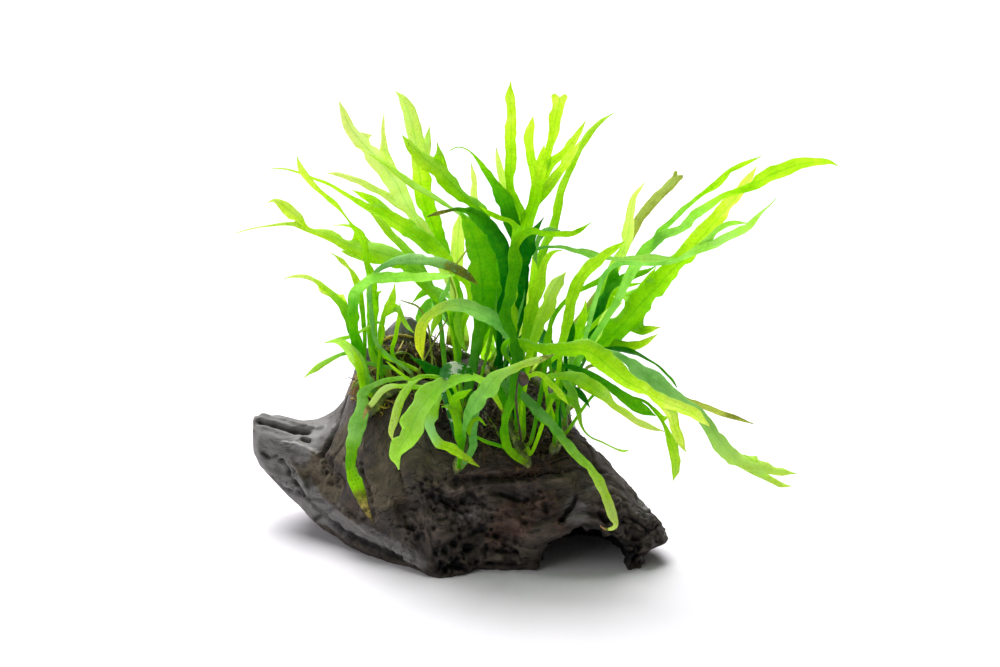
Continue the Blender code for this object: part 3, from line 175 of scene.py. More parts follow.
# Painted shade, nearly black, on the wood between the stems under the leaves, in the same way.
SHADE_BETWEEN_STEMS = [((505, 412), 12, 0.95), ((530, 424), 11, 0.9), ((482, 420), 10, 0.9), ((548, 404), 10, 0.85),
        ((556, 432), 8, 0.6), ((520, 392), 9, 0.8), ((460, 416), 9, 0.8), ((440, 412), 8, 0.8),
        ((502, 440), 8, 0.7), ((528, 448), 8, 0.7), ((476, 446), 6, 0.5)]
HORN_START = -28  # the horn is grey all over left of this, along X, and behind HORN_BACK, along Y
HORN_BACK = 2
HORN_ASH = 0.62
ARCH_MIDDLE = (49.5, -27, -1)  # the hollow under the right end, as in the node
ARCH_RADII = (19, 33, 19.5)
ARCH_MOUTH = -34  # where it opens at the front, along Y
ROUGH_FROM = -36  # the wood gets rough right of this, along X
RIGHT_FOOT = 66  # right of this, along X, the foot is drawn in under the end above it
# Streaks of the wood's colours, each dark, middle and light.
PLAIN_TONES = (0.020, 0.016, 0.013), (0.052, 0.040, 0.031), (0.105, 0.082, 0.064)
EARTH_TONES = (0.044, 0.034, 0.019), (0.092, 0.073, 0.044), (0.150, 0.122, 0.080)
RED_TONES = (0.032, 0.018, 0.012), (0.066, 0.038, 0.027), (0.112, 0.070, 0.050)
ASH_TONES = (0.105, 0.100, 0.096), (0.150, 0.143, 0.138), (0.205, 0.197, 0.190)
# The nearly black colour of the painted shade inside the hollow under the end and between the stems.
PAINTED_SHADE_TONE = (0.004, 0.004, 0.004)
RIM_SPREAD = 0.9  # how broken the rims of the coloured patches are
# Between these heights the painted shade of the hollows turns into the painted highlight of the ridges.
DEEPEST, HIGHEST = -3.0, 2.4  # heights, in millimetres, between which the wood goes from black to pale


def select_only(*things):
    bpy.ops.object.select_all(action="DESELECT")
    for thing in things:
        thing.select_set(True)
    bpy.context.view_layer.objects.active = things[0]


def apply_all(thing):
    """Applies the modifiers of a piece, or makes a curve a mesh."""
    select_only(thing)
    bpy.ops.object.convert(target="MESH")
    return bpy.context.object


def merge_points(thing, gap):
    select_only(thing)
    bpy.ops.object.mode_set(mode="EDIT")
    bpy.ops.mesh.select_all(action="SELECT")
    bpy.ops.mesh.remove_doubles(threshold=gap)
    bpy.ops.object.mode_set(mode="OBJECT")


def fine_copy(node, name, voxel):
    """A copy of a CAD node with small even faces, to be carved."""
    copy = bpy.data.objects.new(name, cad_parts[node].data.copy())
    bpy.context.scene.collection.objects.link(copy)
    copy.data.materials.clear()
    merge_points(copy, 0.01 * MM)
    remesh = copy.modifiers.new("even faces", "REMESH")
    remesh.mode = "VOXEL"
    remesh.voxel_size = voxel
    return apply_all(copy)


def surface_of(thing):
    return BVHTree.FromObject(thing, bpy.context.evaluated_depsgraph_get())


def give_attribute(mesh, name, kind, values):
    """Stores one number or one vector for each point of the mesh."""
    attribute = mesh.attributes.new(name, kind, "POINT")
    if kind == "FLOAT":
        attribute.data.foreach_set("value", values)
    else:
        attribute.data.foreach_set("vector", [number for vector in values for number in vector])


class Finish:
    """A material being mixed. What it is given may be a socket, a number or a (red, green, blue) colour."""

    def __init__(self, name):
        self.material = bpy.data.materials.new(name)
        self.material.use_nodes = True
        self.nodes = self.material.node_tree.nodes
        self.links = self.material.node_tree.links
        self.shader = self.nodes["Principled BSDF"]

    def give(self, socket, value):
        """Joins a socket to another one, or sets it."""
        if isinstance(value, bpy.types.NodeSocket):
            self.links.new(value, socket)
        elif isinstance(value, tuple):
            socket.default_value = (*value, 1)
        else:
            socket.default_value = value

    def shade(self, name, value):
        """Gives one of the shader's sockets its value."""
        self.give(self.shader.inputs[name], value)

    def object_place(self):
        return self.nodes.new("ShaderNodeTexCoord").outputs["Object"]

    def attribute(self, name, output="Fac"):
        node = self.nodes.new("ShaderNodeAttribute")
        node.attribute_name = name
        return node.outputs[output]

    def three_of(self, name):
        """The three numbers of a vector attribute."""
        node = self.nodes.new("ShaderNodeSeparateXYZ")
        self.links.new(self.attribute(name, "Vector"), node.inputs["Vector"])
        return list(node.outputs)

    def worked_out(self, operation, *values):
        node = self.nodes.new("ShaderNodeMath")
        node.operation = operation
        for socket, value in zip(node.inputs, values):
            self.give(socket, value)
        return node.outputs["Value"]

    def scaled(self, value, factor, plus=0.0):
        """value * factor + plus"""
        return self.worked_out("MULTIPLY_ADD", value, factor, plus)

    def ramp(self, value, stops, smooth=True):
        """The colour or the shade of grey for this value, from (value, colour or shade) stops."""
        node = self.nodes.new("ShaderNodeValToRGB")
        if smooth:
            node.color_ramp.interpolation = "EASE"
        elements = node.color_ramp.elements
        while len(elements) < len(stops):
            elements.new(0.5)
        for element, (place, colour) in zip(elements, stops):
            element.position = place
            element.color = (colour, colour, colour, 1) if isinstance(colour, float) else (*colour, 1)
        self.links.new(value, node.inputs["Fac"])
        return node.outputs["Color"]

    def noise(self, place, scale, detail=4.0, stretch=None, rough=0.55):
        """Noise at a place, which is stretched first if stretch is given."""
        if stretch:
            mapping = self.nodes.new("ShaderNodeMapping")
            mapping.inputs["Scale"].default_value = stretch
            self.links.new(place, mapping.inputs["Vector"])
            place = mapping.outputs["Vector"]
        node = self.nodes.new("ShaderNodeTexNoise")
        node.inputs["Scale"].default_value = scale
        node.inputs["Detail"].default_value = detail
        node.inputs["Roughness"].default_value = rough
        self.links.new(place, node.inputs["Vector"])
        return node.outputs["Fac"]

    def cells(self, place, scale, feature="F1"):
        """How far a place is from the middle or the edge of its cell."""
        node = self.nodes.new("ShaderNodeTexVoronoi")
        node.feature = feature
        node.inputs["Scale"].default_value = scale
        self.links.new(place, node.inputs["Vector"])
        return node.outputs["Distance"]

    def mixed(self, how, share, first, second):
        """Two colours mixed, with this share of the second."""
        node = self.nodes.new("ShaderNodeMix")
        node.data_type = "RGBA"
        node.blend_type = how
        for socket, value in ((node.inputs[0], share), (node.inputs[6], first), (node.inputs[7], second)):
            self.give(socket, value)
        return node.outputs[2]

    def bump(self, *heights):
        """Bumps the surface by (height socket, distance in metres) pairs."""
        normal = None
        for height, distance in heights:
            node = self.nodes.new("ShaderNodeBump")
            node.inputs["Strength"].default_value = 1.0
            node.inputs["Distance"].default_value = distance
            self.links.new(height, node.inputs["Height"])
            if normal:
                self.links.new(normal, node.inputs["Normal"])
            normal = node.outputs["Normal"]
        self.links.new(normal, self.shader.inputs["Normal"])


def fit(piece, material, node=None):
    """Gives a piece its material and fixes it to the plant, in the place of a node if one is given."""
    piece.data.materials.append(material)
    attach(piece, "root")
    if node:
        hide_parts(node)


def grain_place(point):
    """A place in the wood as (along, across, through) the grain, in millimetres."""
    place = point / MM
    after = next((i for i, (x, _) in enumerate(GRAIN) if x > place.x), len(GRAIN) - 1)
    before = max(after - 1, 0)
    span = max(GRAIN[after][0] - GRAIN[before][0], 1)
    share = min(max((place.x - GRAIN[before][0]) / span, 0), 1)
    share = share * share * (3 - 2 * share)
    middle = Vector((GRAIN[before][0] * (1 - share) + GRAIN[after][0] * share, 10, 30))
    along = Vector(GRAIN[before][1]).lerp(Vector(GRAIN[after][1]), share).normalized()
    across = along.cross(Vector((0, 0.5, 0.2))).normalized()
    through = along.cross(across)
    seen = place - middle
    return Vector((seen.dot(along) + middle.x, seen.dot(across), seen.dot(through)))


def smoothstep(value):
    value = min(max(value, 0), 1)
    return value * value * (3 - 2 * value)


def furrow(value, sharp):
    """1 in the middle of a furrow, which runs where the noise is 0, and 0 beside it."""
    return max(0.0, 1 - sharp * abs(value)) ** 1.5


def ledges(value):
    """The value rounded to whole steps with short slopes between them."""
    low = math.floor(value)
    return low + smoothstep((value - low) * 3 - 1)


def rugged(place):
    """How rough the wood is at a place in millimetres: calm on the horn, rough right of the middle."""
    return 0.10 + 0.90 * smoothstep((place.x - ROUGH_FROM) / 34)


def in_arch(place):
    """1 inside the hollow under the right end, and 0 at its mouth and outside it."""
    off = [(a - b) / r for a, b, r in zip(place, ARCH_MIDDLE, ARCH_RADII)]
    inside = smoothstep((1.12 - math.hypot(*off)) / 0.08)
    return inside * smoothstep((place.y - ARCH_MOUTH) / 6)


def tucked(place):
    """A place at the right foot, drawn in under the overhanging end above it."""
    if place.x > RIGHT_FOOT:
        drawn_in = 0.47 * smoothstep((9 - place.z) / 5)
        place.x = RIGHT_FOOT + (place.x - RIGHT_FOOT) * (1 - drawn_in)
    return place


def grain_noise(place, length, width, aside=0):
    """Noise in streaks of this length and width in millimetres, at a place along, across and through."""
    return noise.noise(Vector((place.x / length, place.y / width, place.z / width + aside)))


def worn_height(place, along, rough, inside, rotten):
    """How far the worn wood stands out from the node, in millimetres, at a place, also given as along
    the grain. It is rough, inside the arch and rotten by these shares."""
    bent = along + noise.noise_vector(along / 16) * 1.4
    swell = (0.4 + 0.6 * rough) * grain_noise(bent, 28, 10)
    ledge = 0.62 * rough * ledges(3.4 * grain_noise(bent, 30, 9, 20))
    crack = 1.3 * rough * furrow(grain_noise(bent, 48, 8, 9), 8)
    fibre = 0.24 * (0.3 + 0.7 * rough) * grain_noise(bent, 14, 1.5)
    crumble = rotten + 0.30 * rough * max(0, noise.noise(place / 22))
    crumbled = crumble * (1.5 * noise.noise(place / 3.1) + 0.9 * noise.noise(place / 1.6))
    cave = inside * (2.4 * noise.noise(place / 7) + 1.4 * noise.noise(place / 2.6))
    return swell + ledge - crack + fibre + crumbled + cave


noise.seed_set(5)  # without it noise_vector would give something else each run
wood = fine_copy("driftwood", "driftwood_worn", WOOD_VOXEL)
wood_mesh = wood.data
plain_wood = surface_of(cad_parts["driftwood"])
points = [vertex.co.copy() for vertex in wood_mesh.vertices]
outward = [vertex.normal.copy() for vertex in wood_mesh.vertices]
tree = kdtree.KDTree(len(points))
for i, point in enumerate(points):
    tree.insert(point, i)
tree.balance()
carved = [0.0] * len(points)
rot = [0.0] * len(points)


def carve(middle, radius, depth):
    """Presses a round hollow of this radius and depth into the wood, or a bump if depth is negative."""
    for _, i, gap in tree.find_range(middle, radius):
        press = depth * (1 - (gap / radius) ** 2) ** 2
        if depth > 0:
            carved[i] = min(carved[i], -press) if carved[i] <= 0 else carved[i] - press
        elif carved[i] >= 0:
            carved[i] = max(carved[i], -press)


def on_wood(col, row):
    """The place on the wood that is seen at this pixel, or the nearest one to that line of sight."""
    ray = sight_line(col, row)
    hit = plain_wood.ray_cast(EYE, ray)[0]
    return hit or plain_wood.find_nearest(EYE + ray * (0 - EYE.y - 0.02) / ray.y)[0]


def spoil(middle, reach, count, chance):
    """Rots the wood around a place, with small pits in it."""
    rotten_reach = reach * MM * 1.3
    for _, i, gap in tree.find_range(middle, rotten_reach):
        rot[i] = max(rot[i], 1 - gap / rotten_reach)
    for _ in range(count):
        offset = Vector(chance.gauss(0, 0.42) for _ in range(3)) * reach * MM
        pit, _, _, _ = plain_wood.find_nearest(middle + offset)
        carve(pit, chance.uniform(*PIT_RADIUS) * MM, chance.uniform(*PIT_DEPTH) * MM)


chance = random.Random(7)
for pixels, width, depth in WOOD_MARKS:
    line = [on_wood(*pixel) for pixel in pixels]
    for a, b in zip(line, line[1:]):
        steps = max(round((b - a).length / MARK_STEP), 1)
        for step in range(steps + 1):
            at = a.lerp(b, step / steps)
            wander = 0.25 * noise.noise(at / (3 * MM))
            carve(at, width * (0.5 + wander) * MM, depth * (1 + 1.6 * wander) * MM)
for pixel, reach, count in ROTTEN:
    spoil(on_wood(*pixel), reach, count, chance)
for x, y, z, reach, count in ROTTEN_BEHIND:
    spoil(Vector((x, y, z)) * MM, reach, count, chance)


def painted(patches):
    """One number for each point of the wood: how much of these patches of colour it has."""
    amounts = [0.0] * len(points)
    for pixel, reach, amount in patches:
        for _, i, gap in tree.find_range(on_wood(*pixel), reach * MM):
            amounts[i] = max(amounts[i], amount * smoothstep(1.6 * (1 - gap / (reach * MM))))
    return amounts


for (start, wide, strong), (end, narrow, weak) in zip(ASH_BAND, ASH_BAND[1:]):
    for share in (0, 0.17, 0.33, 0.5, 0.67, 0.83):
        pixel = tuple(a + (b - a) * share for a, b in zip(start, end))
        ASHEN.append((pixel, wide + (narrow - wide) * share, strong + (weak - strong) * share))
ash, earth, red, shade_between_stems = painted(ASHEN), painted(EARTHY), painted(REDDISH), painted(SHADE_BETWEEN_STEMS)
heights = []
grain = []
dark = []
for i, (point, normal) in enumerate(zip(points, outward)):
    place = point / MM
    rough = rugged(place)
    inside = in_arch(place)
    along = grain_place(point)
    height = worn_height(place, along, rough, inside, rot[i]) * MM + carved[i]
    height *= min(1, max(point.z, 0) / FLAT)
    moved = tucked((point + normal * height) / MM)
    # The foot is ragged where it meets the floor, but never below it.
    near_floor = smoothstep((7 - place.z) / 6) * rough
    aside = Vector((noise.noise(place / 5), noise.noise(place / 5 + Vector((9, 0, 0))), 0))
    moved += aside * 1.6 * near_floor
    moved.z = max(moved.z, 0 if place.z > 0.3 else place.z)
    wood_mesh.vertices[i].co = moved * MM
    heights.append(height / MM)
    grain.append(along)
    # Painted shade: the hollow under the right end and the wood between the stems are darkened here.
    dark.append(max(inside, shade_between_stems[i]))
    on_horn = smoothstep((HORN_START - place.x) / 44) * smoothstep((place.y - HORN_BACK) / 14)
    ash[i] = max(ash[i], HORN_ASH * on_horn)
give_attribute(wood_mesh, "height", "FLOAT", heights)
give_attribute(wood_mesh, "rot", "FLOAT", rot)
give_attribute(wood_mesh, "dark", "FLOAT", dark)
give_attribute(wood_mesh, "ash_earth_red", "FLOAT_VECTOR", list(zip(ash, earth, red)))
give_attribute(wood_mesh, "grain", "FLOAT_VECTOR", grain)
wood_mesh.shade_smooth()

finish = Finish("worn driftwood")
object_place = finish.object_place()
along_grain = finish.attribute("grain", "Vector")
blotch = finish.noise(object_place, 120, detail=5, rough=0.65)
streak = finish.noise(along_grain, 1.0, detail=6, stretch=(0.05, 0.42, 0.42), rough=0.62)
fibre = finish.noise(along_grain, 1.0, detail=4, stretch=(0.16, 2.4, 2.4))
split = finish.noise(along_grain, 1.0, detail=3, stretch=(0.022, 0.24, 0.24))
dust = finish.noise(object_place, 900, detail=5, rough=0.7)


def patchy(amount):
    """A painted amount with a broken, blotchy rim."""
    return finish.ramp(finish.scaled(blotch, RIM_SPREAD, amount),
                       [(0.5 * RIM_SPREAD + 0.12, 0.0), (0.5 * RIM_SPREAD + 0.62, 1.0)])


def toned(dark, middle, light):
    """A colour that changes from streak to streak."""
    return finish.ramp(streak, [(0.30, dark), (0.50, middle), (0.70, light)])


ashen, earthy, reddish = finish.three_of("ash_earth_red")
tone = toned(*PLAIN_TONES)
for amount, tones in ((earthy, EARTH_TONES), (reddish, RED_TONES), (ashen, ASH_TONES)):
    tone = finish.mixed("MIX", patchy(amount), tone, toned(*tones))
fine = finish.ramp(fibre, [(0.25, 0.68), (0.75, 1.28)])
tone = finish.mixed("MULTIPLY", finish.scaled(ashen, -0.35, 0.6), tone, fine)
# Thin dark splits run with the grain.
from_split = finish.worked_out("ABSOLUTE", finish.worked_out("SUBTRACT", split, 0.5))
splits = finish.ramp(from_split, [(0.0, 0.12), (0.011, 1.0)])
tone = finish.mixed("MULTIPLY", finish.scaled(ashen, -0.35, 0.85), tone, splits)
# Small worm holes pit the rotten patches.
holes = finish.ramp(finish.cells(object_place, 430), [(0.16, 0.10), (0.34, 1.0), (0.60, 1.45)])
tone = finish.mixed("MULTIPLY", finish.attribute("rot"), tone, holes)
# Painted shade darkens the hollows and a painted highlight lightens the ridges, and painted shade makes the
# hollow under the end and the wood between the stems nearly black.
height_range = finish.nodes.new("ShaderNodeMapRange")
finish.give(height_range.inputs["Value"], finish.attribute("height"))
finish.give(height_range.inputs["From Min"], DEEPEST)
finish.give(height_range.inputs["From Max"], HIGHEST)
painted_shade_and_highlight = finish.ramp(height_range.outputs["Result"], [(0.10, 0.06), (0.44, 0.80), (0.60, 1.0), (0.8, 1.35)])
tone = finish.mixed("MULTIPLY", finish.scaled(ashen, -0.3, 1.0), tone, painted_shade_and_highlight)
finish.shade("Base Color", finish.mixed("MIX", finish.attribute("dark"), tone, PAINTED_SHADE_TONE))
finish.shade("Roughness", finish.ramp(streak, [(0.3, 0.40), (0.7, 0.70)]))
finish.shade("Specular IOR Level", 0.28)
roughened = finish.scaled(ashen, -0.85, 1.0)
finish.bump((finish.scaled(splits, roughened), 0.4 * MM), (finish.scaled(fibre, roughened), 0.30 * MM),
            (finish.scaled(dust, roughened), 0.18 * MM))
fit(wood, finish.material, "driftwood")

# ---------------------------------------------------------------- rhizomes
# Four creeping stems lie on the wood, knobbly and some 4 mm thick. They are laid on the wood as the
# nodes are, and sink a little into it.
RHIZOMES = {
    "rhizome_left": [(-1, -27, 40), (1, -22, 48), (2, -13, 57), (-3, -4, 64), (-11, 2, 67),
                     (-20, 4, 68), (-29, 2, 64), (-37, -4, 56)],
    "rhizome_centre": [(27, -22, 41), (25, -18, 48), (20, -11, 56), (17, -2, 62), (13, 7, 66),
                       (9, 15, 70)],
    "rhizome_right": [(36, -16, 44), (42, -8, 50), (43, 2, 53), (36, 10, 60), (29, 17, 64),
                      (22, 22, 66)],
    "rhizome_back": [(-6, 23, 75), (-1, 30, 69), (8, 33, 66), (18, 35, 61), (27, 35, 54),
                     (34, 33, 50)],
}
RHIZOME_RADIUS = 2.2 * MM
RHIZOME_STEP = 5.5 * MM
RHIZOME_ROWS = 90
STEM_TONES = [(0.34, (0.016, 0.020, 0.004)), (0.52, (0.090, 0.120, 0.016)), (0.70, (0.330, 0.400, 0.050))]


def smooth_curve(points, dense=10):
    """A smooth curve through points of three or more numbers, with dense steps between each two."""
    times = [0.0]
    for a, b in zip(points, points[1:]):
        times.append(times[-1] + max(math.dist(a[:3], b[:3]), 1e-9))
    slopes = []
    for i in range(len(points)):
        before = max(i - 1, 0)
        after = min(i + 1, len(points) - 1)
        span = times[after] - times[before]
        slopes.append([(q - p) / span for p, q in zip(points[before], points[after])])
    curve = []
    for i in range(len(points) - 1):
        span = times[i + 1] - times[i]
        for step in range(dense):
            s = step / dense
            near = 2 * s**3 - 3 * s**2 + 1
            leave = (s**3 - 2 * s**2 + s) * span
            arrive = (s**3 - s**2) * span
            curve.append([
                near * a + leave * m + (1 - near) * b + arrive * n
                for a, m, b, n in zip(points[i], slopes[i], points[i + 1], slopes[i + 1])
            ])
    curve.append(list(points[-1]))
    return curve


def length_of(curve):
    return sum(math.dist(a[:3], b[:3]) for a, b in zip(curve, curve[1:]))


def evenly(curve, count):
    """count + 1 points spaced evenly along the curve."""
    step = length_of(curve) / count
    spaced = [list(curve[0])]
    walked = 0.0
    for a, b in zip(curve, curve[1:]):
        span = math.dist(a[:3], b[:3])
        while len(spaced) < count and walked + span >= step * len(spaced):
            part = (step * len(spaced) - walked) / span
            spaced.append([p + (q - p) * part for p, q in zip(a, b)])
        walked += span
    spaced.append(list(curve[-1]))
    return spaced


def lie_on(surface, places, lift):
    """(point, normal) pairs: the places brought to this height over the surface, and evened out."""
    for _ in range(3):
        lain = []
        for place in places:
            hit, normal, _, _ = surface.find_nearest(place)
            lain.append((hit + normal * lift, normal))
        places = [place for place, _ in lain]
        for i in range(1, len(places) - 1):
            places[i] = (lain[i - 1][0] + lain[i][0] * 2 + lain[i + 1][0]) / 4
    return [(place, surface.find_nearest(place)[1]) for place in places]


def strands(name, lines, fineness):
    """One mesh of round strands, each a list of (point, radius)."""
    curve = bpy.data.curves.new(name, "CURVE")
    curve.dimensions = "3D"
    curve.bevel_depth = 1
    curve.bevel_resolution = fineness
    curve.use_fill_caps = True
    for line in lines:
        spline = curve.splines.new("POLY")
        spline.points.add(len(line) - 1)
        for point, (place, radius) in zip(spline.points, line):
            point.co = (*place, 1)
            point.radius = radius
    thing = bpy.data.objects.new(name, curve)
    bpy.context.scene.collection.objects.link(thing)
    thing = apply_all(thing)
    thing.data.shade_smooth()
    return thing


def mottled(name, scale, tones, roughness, depth, detail=4.0, rough=0.7):
    """A material that one noise colours and bumps, by depth in metres."""
    finish = Finish(name)
    mottle = finish.noise(finish.object_place(), scale, detail, rough=rough)
    finish.shade("Base Color", finish.ramp(mottle, tones))
    finish.shade("Roughness", roughness)
    finish.bump((mottle, depth))
    return finish.material


stem_material = mottled("creeping stem", 260, STEM_TONES, 0.55, 0.5 * MM, detail=5)
lines = {}
for name, route in RHIZOMES.items():
    curve = smooth_curve([Vector(point) * MM for point in route])
    spaced = [Vector(p) for p in evenly(curve, round(length_of(curve) / RHIZOME_STEP))]
    lines[name] = lie_on(plain_wood, spaced, 0.75 * RHIZOME_RADIUS)
    fine = [Vector(p) for p in evenly(smooth_curve([place for place, _ in lines[name]]), RHIZOME_ROWS)]
    line = []
    for i, place in enumerate(fine):
        end = min(1, 0.35 + min(i, len(fine) - 1 - i) / 5)
        knob = 1 + 0.22 * noise.noise(place / (4 * MM)) + 0.10 * noise.noise(place / (1.5 * MM))
        line.append((place, RHIZOME_RADIUS * end * knob))
    stem = strands(name + "_knobbly", [line], 4)
    for vertex in stem.data.vertices:
        vertex.co += vertex.normal * 0.35 * MM * noise.noise(vertex.co / (1.1 * MM))
    fit(stem, stem_material, name)

# ---------------------------------------------------------------- fronds
# The leaves: thin, leathery, narrow blades on short stalks, many of them forked. Each blade is a fine
# sheet laid along the node's own line, waved and ribbed, then thickened: a stalk's thickness at its foot.
ROW_STEP = 7.8 * MM  # length of frond between two rows of the node's points
FINER = 6  # fine rows to each of those
COLUMNS = 8
CROWDED = 1.35  # above 1, the columns lie closer together at the midrib than at the edges
BROAD = 6.5 * MM  # blades wider than this sag more from the midrib to the edges
BROAD_CAMBER = 0.14  # of the width
CAMBER = 0.07
MOST_TURNED = 0.35  # a blade is never drawn wider than it looks by more than 1 / this
BLADE = 0.42 * MM
STALK = 1.3 * MM  # thickness at the foot, which fades into the blade's over STALK_LENGTH
STALK_LENGTH = 16 * MM
RIB_STALK = 0.16  # the blade is thicker along its midrib, by this share of a stalk
SEAT_GAP = 0.4 * MM  # between a rhizome and a foot
FOOT = 4 * MM  # a foot's first straight stretch
TWIST = 0.2  # how far a blade twists to and fro, and over what length
TWIST_LENGTH = 30 * MM
SEARCH_STEP = 0.3 * MM  # steps along the line of sight in which the node's blade is looked for
SEARCH_STEPS = 14
ON_NODE = 0.35 * MM
LOBE_FLARE = 1.5  # millimetres over which a lobe narrows from its root
LOBE_ROOT = 2.2  # millimetres over which it leaves the edge of the main blade
BROWN_FOOT = 0.34  # how browned a foot is, up to FOOT_END millimetres from its start
FOOT_END = 11
THINNEST_STALK = 1.4  # millimetres
STALK_SHARE = 0.8  # a stalk's width, as a share of the blade's first one
REAR_STALK = 2.2 * MM  # a stalk's width on the fronds behind the plant
TIP = 4.5  # millimetres over which a tip narrows
BLUNT_TIP = 0.3
SMOOTH_FOOT, SMOOTH_FADE = 4, 14  # a stalk is smooth this far up, and its waves are full this far on
RIB = 0.12  # height of the midrib in millimetres
# The wander of a blade's edges, in shares of half its width, and of its face, in millimetres, each with
# its length along the blade in millimetres.
EDGE_SWELL, EDGE_SWELL_LENGTH = 0.20, 6
EDGE_RIPPLE, EDGE_RIPPLE_LENGTH = 0.16, 2.2
NICK, TOOTH, NICK_LENGTH = 0.34, 0.14, 7
WAVE, WAVE_LENGTH = 0.75, 6
CURL, CURL_LENGTH = 0.35, 2.4
PILLOW, PILLOW_LENGTH = 0.16, 3.2
FULLY_WAVED = 5  # millimetres: narrower blades wave less

